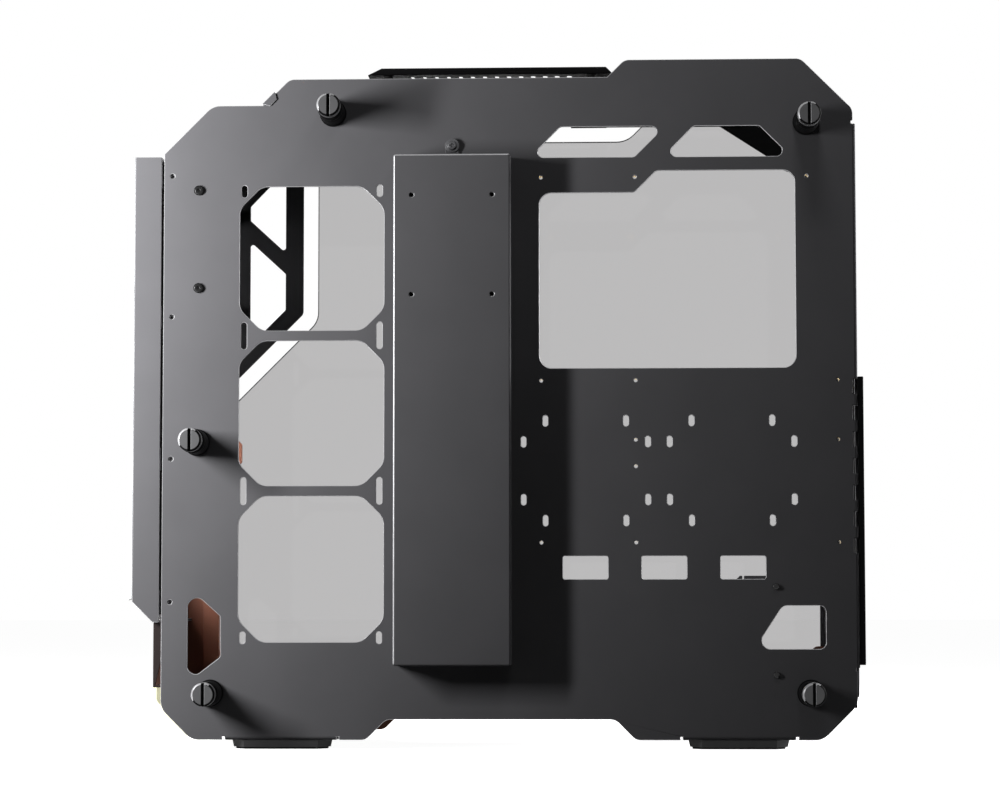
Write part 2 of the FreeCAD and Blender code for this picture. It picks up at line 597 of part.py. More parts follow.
def build_rear_wall():
    body = new_body("rear_wall")
    left, front = s.left_face - s.sheet, s.tray_rear - s.flange
    outer, inner_bend = s.fold_round, s.fold_round - s.sheet + 0.4
    fold = rounded([(s.tray_face, s.tray_rear, 0), (s.tray_face, wall_out, outer),
                    (left, wall_out, outer), (left, front, 0), (s.left_face, front, 0),
                    (s.left_face, s.tray_rear, inner_bend)])
    slab(body, "XY", "wall_low", "tray_high - wall_drop", [fold])
    slab(body, "XZ", "tray_rear", "tray_rear + sheet",
         [rectangle(left, s.floor_top - 4, psu_span()[0] + 6, s.wall_low + 5)])
    ledge_top = slot_rows()[0] + s.slot_pitch / 2
    ledge_low = slot_rows()[-1] - s.slot_pitch / 2
    slab(body, "YZ", "ledge_x - thin_sheet", "ledge_x",
         [rectangle(s.tray_rear, ledge_low, wall_out + s.ledge_deep, ledge_top)])
    cut(body, "YZ", "tray_face - 2 * sheet", "tray_face + sheet", edge_notches())
    io_near = tray_in - s.io_gap
    openings = [rectangle(io_near - s.io_wide, s.io_top - s.io_tall, io_near, s.io_top, 1.0),
                octagon(s.rear_fan_x, s.rear_fan_z, s.fan_span, s.fan_cut, s.fan_round),
                psu_window()]
    openings += [rectangle(s.slot_far, z - s.slot_wide / 2, s.slot_near, z + s.slot_wide / 2, 1.0)
                 for z in slot_rows()]
    through = ("tray_rear - sheet", "tray_rear + 2 * sheet")
    cut(body, "XZ", *through, openings)
    slits = [rectangle(s.ledge_x - s.thin_sheet - s.sheet, z - s.slot_pitch / 2 + 0.3,
                       s.ledge_x - s.thin_sheet, z + s.slot_pitch / 2 - 0.3) for z in slot_rows()]
    reach = s.fan_screws / 2
    holes = [circle(s.rear_fan_x + a * reach, s.rear_fan_z + b * reach, s.fan_hole)
             for a in (-1, 1) for b in (-1, 1)]
    holes += [circle(x, z, s.psu_hole) for x, z in psu_screws()]
    cut(body, "XZ", *through, slits + holes)
    screw_y = wall_out + s.ledge_deep / 2
    cut(body, "YZ", "ledge_x - 2 * thin_sheet", "ledge_x + thin_sheet",
        [circle(screw_y, z, 3.0) for z in slot_rows()])


# Motherboard stand-offs on the inner face

def build_standoffs():
    def one(y, z):
        barrel = rod(tray_in, tray_in - s.standoff_tall, y, z, s.standoff_wide)
        return barrel.cut(rod(tray_in + 1, tray_in - s.standoff_tall - 1, y, z, s.standoff_bore))
    group("motherboard_standoffs", [one(y, z) for y, z in board_holes()])


# Cable cover: a tray shaped lid on the outer face

def build_cable_cover():
    body = new_body("cable_cover")
    t = s.thin_sheet
    front, rear = s.box_front, s.box_front + s.box_wide
    low, high = s.box_low, s.box_low + s.box_tall
    block = slab(body, "YZ", "tray_face", "tray_face + box_deep",
                 [rectangle(front, low, rear, high, s.box_round)])
    doc.recompute()
    rim = [f"Edge{i}" for i, e in enumerate(block.Shape.Edges, 1)
           if all(abs(v.X - s.tray_face - s.box_deep) < 1e-6 for v in e.Vertexes)]
    bend = body.newObject("PartDesign::Fillet", "bends")
    bend.Base = (block, rim)
    bend.setExpression("Radius", bound("box_round * 0.8"))
    body.Tip = bend
    cut(body, "YZ", "tray_face - 1", "tray_face + box_deep - thin_sheet",
        [rectangle(front + t, low + t, rear - t, high - t)])
    tab = s.box_screw_head / 2
    slab(body, "YZ", "tray_face", "tray_face + thin_sheet",
         [rounded([(s.box_screw_y - tab, high - t, 0), (s.box_screw_y + tab, high - t, 0),
                   (s.box_screw_y + tab, box_screw_z + tab, tab - 0.2),
                   (s.box_screw_y - tab, box_screw_z + tab, tab - 0.2)])])
    holes = [circle(y, z, 3.2) for y in (-66.0, -4.3) for z in (423.4, 346.8)]
    cut(body, "YZ", "tray_face + box_deep - 2 * thin_sheet", "tray_face + box_deep + 1", holes)
    cut(body, "YZ", "tray_face - 1", "tray_face + 2 * thin_sheet",
        [circle(s.box_screw_y, box_screw_z, 4.4)])
    seat = s.tray_face + s.thin_sheet
    head = turned([(0, 0), (0, tab), (0.8, tab), (1.1, tab * 0.7), (2.4, tab * 0.53), (2.8, 0)],
                  seat, s.box_screw_y, box_screw_z, 1)
    shank = rod(seat - s.thin_sheet + 0.1, seat + 0.5, s.box_screw_y, box_screw_z, 3.6)
    cross = Part.makeBox(2, 0.9, 3.6, Vector(seat + 1.6, s.box_screw_y - 0.45, box_screw_z - 1.8))
    cross = cross.fuse(Part.makeBox(2, 3.6, 0.9, Vector(seat + 1.6, s.box_screw_y - 1.8, box_screw_z - 0.45)))
    group("cable_cover_screw", [head.fuse(shank).cut(cross)])


# Posts and thumb knobs

def knob(x, y, z, outward, tall, shank):
    """A slotted thumb knob with a grip groove, its face bevelled, and a screw shank into its post."""
    r, g = s.knob_wide / 2, s.knob_groove
    low = tall * 0.35
    profile = [(-shank, 0), (-shank, s.screw_wide / 2), (0, s.screw_wide / 2), (0, r - g), (low, r - g),
               (low + g, r), (tall - s.knob_bevel, r), (tall, r - s.knob_bevel), (tall, 0)]
    solid = turned(profile, x, y, z, outward)
    slot_box = Part.makeBox(s.knob_slot_deep * 2, s.knob_slot, s.knob_wide * 1.2)
    slot_box.translate(Vector(x + outward * tall - s.knob_slot_deep, y - s.knob_slot / 2,
                              z - s.knob_wide * 0.6))
    return solid.cut(slot_box)


def build_cable_side_posts():
    foot, wide = s.post_foot / 2, s.post_wide / 2
    bore = s.screw_wide / 2 + 0.05
    ring, top = s.post_ring, s.post_tall
    profile = [(0, bore), (0, foot), (s.post_foot_thick, foot), (s.post_foot_thick + 1, wide)]
    for groove in (top - 3 - 6 * ring, top - 2 * ring):
        profile += [(groove - 2 * ring, wide), (groove - ring, wide - ring), (groove, wide)]
    profile += [(top - ring, wide), (top, wide - ring), (top, bore)]
    group("cable_side_posts", [turned(profile, s.tray_face, y, z, 1) for y, z in knob_places])
    top = s.tray_face + s.post_tall
    group("cable_side_knobs", [knob(top, y, z, 1, s.knob_tall, s.post_tall / 2) for y, z in knob_places])


def build_glass_side_posts():
    bore = s.screw_wide / 2 + 0.05
    wide = s.far_post_wide / 2
    profile = [(0, bore), (0, wide), (s.far_post_tall, wide), (s.far_post_tall, bore)]
    group("glass_side_posts", [turned(profile, s.left_face, y, z, -1) for y, z in far_knob_places])
    seat = s.left_face - s.far_post_tall
    ring = [(0, bore), (0, wide - 0.5), (s.washer_thick, wide - 0.5), (s.washer_thick, bore)]
    group("glass_washers", [turned(ring, seat, y, z, -1) for y, z in far_knob_places])
    outer = seat - s.washer_thick - s.glass
    shank = s.glass + s.washer_thick + s.far_post_tall
    group("glass_side_knobs", [knob(outer, y, z, -1, s.far_knob_tall, shank) for y, z in far_knob_places])


# Far side glass

def build_side_glass():
    body = new_body("side_glass")
    r, c = s.side_glass_round, s.side_glass_cut
    top_front = front_high
    high = s.tray_high - s.side_glass_drop
    bend = s.side_glass_top_front + side_glass_sum
    step = s.rear_step + 16.0
    outline = rounded([
        (s.side_glass_front, s.side_glass_low + c, r),
        (s.side_glass_front, s.side_glass_front + side_glass_sum, r),
        (s.side_glass_top_front, bend, r),
        (s.side_glass_top_front, top_front, 6.0),
        (step, top_front, 20.0),
        (step + high - top_front, high, 4.0),
        (s.side_glass_rear - c, high, r),
        (s.side_glass_rear, high - c, r),
        (s.side_glass_rear, s.side_glass_low + c, r),
        (s.side_glass_rear - c, s.side_glass_low, r),
        (s.side_glass_front + c, s.side_glass_low, r)])
    outer = "left_face - far_post_tall - washer_thick"
    slab(body, "YZ", outer + " - glass", outer, [outline])
    cut(body, "YZ", outer + " - glass - 1", outer + " + 1",
        [circle(y, z, s.glass_hole) for y, z in far_knob_places])


# Front frame, its glass, the tie rods and the truss wing

def frame_profile(inset):
    """The front frame's side view, moved in by a sheet thickness."""
    slope = (s.front_face - s.tray_front) * -1 - s.frame_gap - 5
    back = s.tray_front - s.frame_gap + (1 if inset else 0)
    side = s.front_face + inset
    low = s.frame_low + inset
    lean = inset * math.tan(math.radians(22.5))
    return rounded([(side, s.frame_high - inset, 0), (back, s.frame_high - inset, 0), (back, low, 0),
                    (s.front_face + slope + lean, low, 0), (side, s.frame_low + slope + lean, 0)])


def build_front_frame():
    body = new_body("front_frame")
    slab(body, "YZ", "left_face - sheet", "tray_face", [frame_profile(0)])
    cut(body, "YZ", "left_face", "tray_face - sheet", [frame_profile(s.sheet)])
    b = s.frame_border
    window = rounded([(s.left_face + b, 148.0, 4), (s.left_face + b + 20, 128.0, 4),
                      (tray_in - b - 20, 128.0, 4), (tray_in - b, 148.0, 4),
                      (tray_in - b, s.frame_high - b - 20, 4), (tray_in - b - 20, s.frame_high - b, 4),
                      (s.left_face + b + 20, s.frame_high - b, 4), (s.left_face + b, s.frame_high - b - 20, 4)])
    cut(body, "XZ", "front_face - 1", "front_face + 2 * sheet", [window])
    half = s.frame_tab / 2
    front = s.tray_front - 9.0
    rear = front_hole_y + 7.0
    tabs = [rectangle(front, z - half, rear, z + half) for z in front_hole_rows]
    slab(body, "YZ", "tray_face - 2 * sheet", "tray_face - sheet", tabs)
    slab(body, "YZ", "left_face + sheet", "left_face + 2 * sheet", tabs)
    cut(body, "YZ", "tray_face - 3 * sheet", "tray_face - sheet + 0.5",
        [circle(front_hole_y, z, 2.5) for z in front_hole_rows])


def build_front_glass():
    body = new_body("front_glass")
    low = s.frame_low + 17.0
    slab(body, "XZ", "front_face - front_glass_thick", "front_face",
         [rectangle(s.left_face - s.sheet + 0.5, low, s.tray_face - 0.5, s.frame_high, 2.0)])


def build_tie_rods():
    places = [(s.rod_y, s.rod_high), (s.rod_y, s.rod_low)]
    group("tie_rods", [rod(left_in, tray_in, y, z, s.rod_wide) for y, z in places])
    r = s.rod_screw_head / 2
    head = [(0, 0), (0, r), (1.2, r), (2.4, r * 0.72), (2.4, 1.2), (1.0, 1.2), (1.0, 0)]
    screws = [turned(head, s.tray_face, y, z, 1) for y, z in places]
    screws += [turned(head, s.left_face, y, z, -1) for y, z in places]
    group("tie_rod_screws", screws)


def build_wing():
    body = new_body("truss_wing")
    rear, front, high = s.wing_rear, s.wing_front, wing_high
    strut_low = high - s.strut_drop
    top_cut = s.front_top_cut - 1.0
    outline = rounded([
        (rear, rear + wing_sum, 6), (rear, high, 3), (front + top_cut, high, 8),
        (front, high - top_cut, 3), (front, front + wing_sum, 2)])
    slab(body, "YZ", "left_face", "left_face + sheet", [outline])
    cell_rear = rear - s.wing_bar
    cell_front = cell_rear - s.wing_cell
    low_sum = wing_sum + s.wing_low_bar / half_turn
    strut_rise = s.strut_wide / half_turn
    strut_foot = strut_low + s.wing_cell * 0.92
    r = 2.0
    lower = rounded([(cell_rear, cell_rear + low_sum, r), (cell_rear, strut_low, r),
                     (cell_front, strut_foot, r), (cell_front, cell_front + low_sum, r)])
    upper = rounded([(cell_rear, strut_low + strut_rise, r), (cell_rear, strut_low + strut_rise + 70, r),
                     (cell_front, strut_foot + strut_rise + 12.0, r), (cell_front, strut_foot + strut_rise, r)])
    cut(body, "YZ", "left_face - sheet", "left_face + 2 * sheet", [lower, upper])


# Copper coloured parts at the lower front and along the far lower edge

def build_lower_frame():
    body = new_body("copper_frame")
    front, rear = s.tray_front + 1.0, s.tray_rear - 1.0
    inner = front + s.lower_frame_strip
    ear = inner + s.ear_reach
    ear_low = lower_frame_high - s.ear_tall
    top = s.lower_frame_top
    rise, flat = s.lower_frame_rear_rise, s.lower_frame_rear_flat
    low = s.tray_low
    outline = rounded([
        (front, low + s.front_low_cut, s.corner_round), (front, lower_frame_high, 0),
        (ear - 8, lower_frame_high, 3), (ear, lower_frame_high - 8, 3), (ear, ear_low, 3),
        (inner + 3, ear_low, 2), (inner, ear_low - 3, 0), (inner, top + 20, 3), (inner + 20, top, 3),
        (rear - flat - rise * 1.2, top, 6), (rear - flat, top + rise, 6), (rear, top + rise, 2),
        (rear, low + s.rear_low_cut, s.corner_round), (rear - s.rear_low_cut, low, s.corner_round),
        (s.belly_rear, low, s.step_round), (s.belly_rear - s.belly_rise, belly_low, s.step_round),
        (s.belly_front + s.belly_rise, belly_low, s.step_round), (s.belly_front, low, s.step_round),
        (front + s.front_low_cut, low, s.corner_round)])
    slab(body, "YZ", "left_face", "left_face + sheet", [outline])
    over = s.foot_flange_over
    slab(body, "XY", "tray_low", "tray_low + sheet",
         [rectangle(s.left_face, y - over, s.left_face + s.foot_flange_wide, y + s.foot_long + over)
          for y in foot_places()])


def build_chin():
    body = new_body("chin_panel")
    t = s.thin_sheet
    face, high = s.chin_face, s.frame_low
    cheek = s.tray_front + s.sheet
    slab(body, "YZ", "left_face + sheet", "tray_face - 2 * sheet",
         [rectangle(face, s.light_high, face + t, high)])
    slab(body, "YZ", "tray_face - 2 * sheet - thin_sheet", "tray_face - 2 * sheet",
         [rounded([(face, s.light_high, 0), (face + t, s.light_high, 0), (cheek + 4, high - 1.8, 0),
                   (cheek + 4, high, 0), (face, high, 0)])])
    slab(body, "YZ", "left_face + sheet", "left_face + sheet + thin_sheet",
         [rectangle(face, s.light_high, s.tray_front + 10, high)])
    slab(body, "XY", "light_high", "light_high + thin_sheet",
         [rectangle(left_in, face, tray_in - s.sheet, face + 22.0)])


def build_chin_light():
    body = new_body("chin_light")
    face = s.chin_face
    high = s.light_high
    t = s.light_thick
    toe_y, toe_z = s.tray_front + 18.4, s.tray_low + 2.2
    lean = t * math.tan(math.radians(22.5))
    bend_z = toe_z + (toe_y - face) * 1.05
    outline = rounded([
        (face, high, 0), (face, bend_z, 9.0), (toe_y, toe_z, 0), (toe_y + t, toe_z + t * 0.4, 0),
        (face + t, bend_z + lean, 6.0), (face + t, high, 0)])
    slab(body, "YZ", "left_face + sheet + 1", "tray_face - 2 * sheet", [outline])


# Rear gusset, top fan tray, top cover

def build_gusset():
    body = new_body("rear_gusset")
    rear = s.tray_rear
    start, fall = 160.0, 0.708
    high = mid_high + 2.0
    low = high - fall * (rear - s.flange - start)
    outline = rounded([(start, high, 2), (rear, low - 4, 0), (rear, wall_high + 6, 4),
                       (rear - 30.0, high, 4)])
    slab(body, "YZ", "left_face", "left_face + sheet", [outline])


def build_top_tray():
    body = new_body("top_fan_tray")
    front, rear = front_step_end + 2.2, s.rear_step - 0.5
    top = "tray_high - mid_drop - top_tray_gap"
    slab(body, "XY", top + " - thin_sheet", top, [rectangle(s.left_face, front, tray_in, rear)])
    z = mid_high - s.top_tray_gap
    slab(body, "YZ", "tray_face - sheet - thin_sheet", "tray_face - sheet",
         [rectangle(front, z - s.top_tray_skirt, rear, z)])
    gusset_low = z - 8.0
    ear_y, ear_z = far_knob_places[0]
    slab(body, "YZ", "left_face", "left_face + sheet",
         [rounded([(ear_y - 26, z, 0), (ear_y - 26, z - 4, 3), (ear_y - 14, ear_z - 8, 6), (ear_y, ear_z - 14, 6),
                   (ear_y + 14, ear_z - 8, 6), (ear_y + 26, z - 4, 3), (ear_y + 26, z, 0)]),
          rectangle(rear - 30, gusset_low, rear, z)])
    slab(body, "YZ", "left_face + sheet", "left_face + 2 * sheet",
         [rectangle(rear - 26, gusset_low, 196.0, z)])
    middle = (s.left_face + tray_in) / 2
    rows = [(front + rear) / 2 - s.fan_pitch / 2, (front + rear) / 2 + s.fan_pitch / 2]
    under, over = "tray_high - mid_drop - top_tray_gap - 2 * thin_sheet", "tray_high - mid_drop"
    cut(body, "XY", under, over, [octagon(middle, y, s.fan_span, s.fan_cut, s.fan_round) for y in rows])
    reach = s.fan_screws / 2
    slots = [slot(middle + a * reach, y + b * reach, s.top_slot_long, s.fan_slot_wide, upright=False)
             for y in rows for a in (-1, 1) for b in (-1, 1)]
    cut(body, "XY", under, over, slots)


def build_top_cover():
    body = new_body("top_cover")
    low = mid_high - s.top_tray_gap + s.filter_rise
    front, rear = s.filter_front, s.rear_step + 4.0
    near, far = tray_in - s.filter_inset, s.left_face + s.filter_inset
    top, e = low + s.filter_thick, s.filter_bevel
    slab(body, "YZ", "left_face + filter_inset", "tray_face - sheet - filter_inset",
         [rounded([(front, low, 0), (rear, low, 0), (rear, top - e, 0), (rear - e, top, 0),
                   (front + 2.2 * e, top, 0)])])
    count = int(s.filter_slot_count)
    pitch = s.filter_slot + s.filter_bar
    start = (front + rear) / 2 - (count - 1) * pitch / 2
    middle = (near + far) / 2
    long = (near - far) / 2 - 14.0
    slots = [slot(middle + side * (long / 2 + 4.0), start + i * pitch, long, s.filter_slot, upright=False)
             for i in range(count) for side in (-1, 1)]
    cut(body, "XY", "tray_high - mid_drop - top_tray_gap + filter_rise - 1",
        "tray_high - mid_drop - top_tray_gap + filter_rise + filter_thick + 1", slots)
    seat = mid_high - s.top_tray_gap
    feet = [Part.makeCylinder(3.5, s.filter_rise, Vector(x, y, seat), Vector(0, 0, 1))
            for x in (near - 6.0, far + 6.0) for y in (front + 16.0, s.rear_step - 12.0)]
    group("top_cover_bumpers", feet)


# Front top panel with its sloped switch and port strip

def slope_place(along, across, rise):
    """A point on the sloped strip: along X, across up the slope from its lower edge, rise off its face."""
    low = Vector(0, s.front_step, front_high)
    up = Vector(0, half_turn, half_turn)
    out = Vector(0, -half_turn, half_turn)
    return low + up * across + out * (rise - s.panel_inset) + Vector(along, 0, 0)


SLOPE_TURN = Rotation(Vector(1, 0, 0), 45)
SLOPE_MIDDLE = 14.0


def on_slope(shape, along, rise):
    """Moves a shape built about Z onto the middle of the strip, with Z out of its face."""
    moved = shape.copy()
    moved.Placement = Placement(slope_place(along, SLOPE_MIDDLE, rise), SLOPE_TURN) * shape.Placement
    return moved


def block(wide, tall, low, high, radius=0):
    """A rounded block centred on Z, between two heights."""
    loop = rectangle(-wide / 2, -tall / 2, wide / 2, tall / 2, radius)
    face = Part.Face(Part.Wire(Part.__sortEdges__([g.toShape() for g in loop])))
    solid = face.extrude(Vector(0, 0, high - low))
    solid.translate(Vector(0, 0, low))
    return solid


PORTS = [
    ("usb_port_upper", 6.0, 13.0, 5.6, 0.8),
    ("usb_port_lower", -14.0, 13.0, 5.6, 0.8),
    ("usb_small_port", -32.0, 9.0, 3.2, 1.5),
]
POWER_X, RESET_X, JACK_X = 48.0, 28.0, -50.0
JACK_WIDE = 7.0


def build_front_top_panel():
    t, gap = s.thin_sheet, s.panel_inset
    near, far = tray_in, s.left_face + s.panel_end_gap
    turn = math.tan(math.radians(22.5))
    line = [(s.tray_front + 2.0, front_high - s.front_top_cut + 2.0),
            (s.tray_front + s.front_top_cut, front_high),
            (s.front_step, front_high), (front_step_end, mid_high)]

    def offset(depth):
        ends = [(y + depth * half_turn, z - depth * half_turn) for y, z in line]
        bends = [(y + depth * turn, z - depth) for y, z in line]
        return [ends[0], bends[1], bends[2], ends[3]]
    outer, inner = offset(gap), offset(gap + t)[::-1]
    profile = Part.Face(Part.makePolygon([Vector(far, y, z) for y, z in outer + inner + outer[:1]]))
    panel = profile.extrude(Vector(near - far, 0, 0))
    cutters = [on_slope(block(w + 2 * s.port_gap, h + 2 * s.port_gap, -4, 2, r + s.port_gap), x, 0)
               for _, x, w, h, r in PORTS]
    for x, wide in ((POWER_X, s.power_wide), (RESET_X, s.reset_wide)):
        cutters.append(on_slope(Part.makeCylinder(wide / 2 + s.button_gap, 8, Vector(0, 0, -5)), x, 0))
    cutters.append(on_slope(Part.makeCylinder(JACK_WIDE / 2 + s.port_gap, 8, Vector(0, 0, -5)), JACK_X, 0))
    for cutter in cutters:
        panel = panel.cut(cutter)
    flange = Part.makeBox(t, 14.0, 18.0, Vector(tray_in - t, s.front_step - 16.0, front_high - gap - 18.0))
    group("front_top_panel", [panel.fuse([flange, *edge_hook(near)])])


def edge_hook(near):
    """The lip of the sloped strip that laps over the tray's edge and down its outer face."""
    over, low, wide = s.edge_gap + s.hook_thick, -s.hook_deep, s.hook_wide
    narrow = (wide - s.hook_low_wide) / 2
    start = s.edge_gap

    def prism(points, x0, x1):
        def place(u, v, x):
            return slope_place(x, u, v + s.panel_inset)
        face = Part.Face(Part.makePolygon([place(u, v, x0) for u, v in points + points[:1]]))
        return face.extrude(Vector(x1 - x0, 0, 0))
    face_x = s.tray_face + s.hook_thick
    lip = prism([(start, over), (start + narrow, low), (start + wide - narrow, low), (start + wide, over)],
                s.tray_face, face_x)
    bridge = prism([(start, s.edge_gap), (start + wide, s.edge_gap), (start + wide, over), (start, over)],
                   near - 3.0, face_x)
    drop = prism([(start, -s.panel_inset - 1), (start + wide, -s.panel_inset - 1), (start + wide, over),
                  (start, over)], near - 3.0, near - s.edge_gap)
    return [lip, bridge, drop]


def build_port_board():
    wide = POWER_X - JACK_X + 34.0
    middle = (POWER_X + JACK_X) / 2 + 2
    low = -s.board_drop - s.board_thick
    board = block(wide, 22.0, low, low + s.board_thick, 1.5)
    group("port_board", [on_slope(board, middle, 0)])
    pillars = [on_slope(Part.makeCylinder(2.5, s.board_drop - s.thin_sheet, Vector(0, 7, -s.board_drop)), x, 0)
               for x in (middle - wide / 2 + 5, middle + wide / 2 - 5)]
    group("port_board_pillars", pillars)
    for label, x, w, h, r in PORTS:
        shell = block(w, h, -s.board_drop, 0.4, r)
        shell = shell.cut(block(w - 1.2, h - 1.2, -8, 1, max(r - 0.5, 0.3)))
        tongue = block(w - 3.0, 1.2 if h > 4 else 0.7, -8.5, -0.8)
        group(label, [on_slope(shell.fuse(tongue), x, 0)])
    jack = Part.makeCylinder(JACK_WIDE / 2, s.board_drop + 0.4, Vector(0, 0, -s.board_drop))
    jack = jack.cut(Part.makeCylinder(1.8, 12.0, Vector(0, 0, -10.0)))
    group("audio_jack", [on_slope(jack, JACK_X, 0)])


def build_buttons():
    """Each button floats over the plunger of its switch; it travels into the panel."""
    plunger_gap = s.button_travel + 0.2
    for label, x, wide in (("power", POWER_X, s.power_wide), ("reset", RESET_X, s.reset_wide)):
        r = wide / 2
        under = -s.thin_sheet - s.button_gap
        cap = turned_z([(0, under - 1.2), (r + 1.2, under - 1.2), (r + 1.2, under), (r, under),
                        (r, s.button_lip - 0.5), (r - 0.5, s.button_lip), (0, s.button_lip - 0.3)])
        group(label + "_button", [on_slope(cap, x, 0)])
        top = under - 1.2 - plunger_gap
        body = block(min(wide, 6.0) + 0.0, 6.0, -s.board_drop, top - 1.0, 0.6)
        stem = Part.makeCylinder(1.7, 1.0 + 0.001, Vector(0, 0, top - 1.001))
        group(label + "_switch", [on_slope(body.fuse(stem), x, 0)])


def turned_z(profile):
    """A part turned about Z from (radius, height) points."""
    points = [Vector(r, 0, h) for r, h in profile]
    return Part.Face(Part.makePolygon(points + points[:1])).revolve(Vector(0, 0, 0), Vector(0, 0, 1), 360)


# Rear fittings

def build_slot_covers():
    inner = s.tray_rear
    tab_out = s.ledge_x - s.thin_sheet
    screw_y = wall_out + s.ledge_deep / 2
    for number, z in enumerate(slot_rows(), 1):
        half = s.cover_wide / 2
        strip = Part.makeBox(s.slot_near + 2.0 - tab_out + s.cover_sheet, s.cover_sheet, s.cover_wide,
                             Vector(tab_out - s.cover_sheet, inner - s.cover_sheet, z - half))
        tab = Part.makeBox(s.cover_sheet, s.sheet + s.ledge_deep + s.cover_sheet, s.cover_wide,
                           Vector(tab_out - s.cover_sheet, inner - s.cover_sheet, z - half))
        hole = rod(tab_out - 3, tab_out + 3, screw_y, z, 3.6)
        ribs = [Part.makeBox(60.0, 3.0, 2.2, Vector(0, inner - 2, z + side * 3.6 - 1.1)) for side in (-1, 1)]
        cover = strip.fuse(tab).cut(hole)
        for rib in ribs:
            cover = cover.cut(rib)
        group(f"slot_cover_{number}", [cover])
    head = [(-1.0 - s.thin_sheet, 0), (-1.0 - s.thin_sheet, 1.45), (0, 1.45), (0, 3.8), (3.4, 3.8), (4.0, 3.2), (4.0, 0)]
    screws = [turned(head, tab_out - s.cover_sheet, screw_y, z, -1) for z in slot_rows()]
    group("slot_cover_screws", screws)


def build_slot_rail():
    body = new_body("slot_rail")
    near = s.tray_face - 1.0
    slab(body, "XZ", "tray_rear + sheet", "tray_rear + sheet + rail_deep",
         [rectangle(near - s.rail_wide, s.rail_low, near, s.rail_high, 0.8)])


# Bottom tray and power supply fittings

def build_bottom_tray():
    body = new_body("bottom_tray")
    t = s.thin_sheet
    front, rear = s.tray_front + 5.0, s.tray_rear - 0.3
    slab(body, "XY", "floor_top - thin_sheet", "floor_top", [rectangle(left_in, front, tray_in, rear)])
    low = s.floor_top - s.floor_flange
    side = [rectangle(front, low, rear, s.floor_top)]
    slab(body, "YZ", "tray_face - sheet - thin_sheet", "tray_face - sheet", side)
    slab(body, "YZ", "left_face + sheet", "left_face + sheet + thin_sheet", side)
    middle = sum(psu_span()) / 2
    cut(body, "XY", "floor_top - 2 * thin_sheet", "floor_top + 1",
        [octagon(middle, 185.0, s.fan_span, s.fan_cut, s.fan_round)])
    near, far = psu_span()
    pads = [Part.makeBox(near - far - 30.0, 12.0, s.psu_low - s.floor_top, Vector(far + 15.0, y, s.floor_top))
            for y in (112.0, 246.0)]
    group("psu_pads", pads)


def flat_sheet(loop, x, thick):
    """A flat sheet from a (Y, Z) loop, from x along +X."""
    face = Part.Face(Part.Wire(Part.__sortEdges__([g.toShape() for g in loop])))
    solid = face.extrude(Vector(0, 0, thick))
    solid.Placement = Placement(Vector(x, 0, 0), Rotation(Vector(1, 1, 1), 120))
    return solid


def build_psu_guide():
    """Two brackets on the tray's inner face that steady the power supply."""
    t = s.thin_sheet
    reach = tray_in - psu_span()[0] - 1.0
    low, high = s.guide_high - s.guide_tall / 2 - 1.7, s.guide_high + s.guide_tall / 2 - 1.7
    front, rear, corner = s.guide_y - s.guide_front, s.guide_y + 7.0, s.guide_corner
    upper = flat_sheet(rounded([(front, low, 0), (rear, low, 1), (rear, high, 1), (front + corner, high, 0),
                                (front, high - corner, 0)]), tray_in - t, t)
    slit_at = front + corner + 2.0
    upper = upper.cut(Part.makeBox(t + 2, s.guide_slit, s.guide_tall / 2,
                                   Vector(tray_in - t - 1, slit_at, high - s.guide_tall / 2)))
    upper = upper.fuse(Part.makeBox(reach, t, high - low - corner, Vector(tray_in - reach, front, low)))
    low_front, low_half = s.guide_y - s.low_guide_long / 2, 9.0
    lower = flat_sheet(rectangle(low_front, s.guide_low - low_half, low_front + s.low_guide_long,
                                 s.guide_low + low_half, 1), tray_in - t, t)
    lower = lower.fuse(Part.makeBox(reach, t, 2 * low_half - 2,
                                    Vector(tray_in - reach, low_front, s.guide_low - low_half + 1)))
    group("psu_guide", [upper, lower])
    head = [(0, 0), (0, 2.6), (1.4, 2.3), (2.0, 1.2), (2.0, 0)]
    group("psu_guide_screws", [turned(head, s.tray_face, s.guide_y, z, 1) for z in (s.guide_high, s.guide_low)])


# Feet

def build_feet():
    right = s.tray_face - s.foot_inset
    left = s.left_face + s.foot_inset
    for side, x0, x1 in (("right", right - s.foot_wide, right), ("left", left, left + s.foot_wide)):
        for end, y0 in (("front", s.foot_front), ("rear", s.foot_rear)):
            c = s.foot_cut
            y1 = y0 + s.foot_long

            def ring(z, inset):
                points = [(x0 + inset, y0 + c), (x0 + c, y0 + inset), (x1 - c, y0 + inset), (x1 - inset, y0 + c),
                          (x1 - inset, y1 - c), (x1 - c, y1 - inset), (x0 + c, y1 - inset), (x0 + inset, y1 - c)]
                points = [Vector(x, y, z) for x, y in points]
                return Part.makePolygon(points + points[:1])
            foot = Part.makeLoft([ring(s.foot_pad, 1.2), ring(s.tray_low, 0)], True, True)
            pad = Part.Face(ring(0, 3.0)).extrude(Vector(0, 0, s.foot_pad))
            group(f"{end}_{side}_foot", [foot])
            group(f"{end}_{side}_foot_pad", [pad])


build_tray()
build_rear_wall()
build_standoffs()
build_cable_cover()
build_cable_side_posts()
build_glass_side_posts()
build_side_glass()
build_front_frame()
build_front_glass()
build_tie_rods()
build_wing()
build_lower_frame()
build_chin()
build_chin_light()
build_gusset()
build_top_tray()
build_top_cover()
build_front_top_panel()
build_port_board()
build_buttons()
build_slot_covers()
build_slot_rail()
build_bottom_tray()
build_psu_guide()
build_feet()

doc.recompute()

for item in doc.Objects:
    if "Invalid" in item.State or "Error" in item.State:
        raise RuntimeError(f"{item.Label} failed: {item.State}")

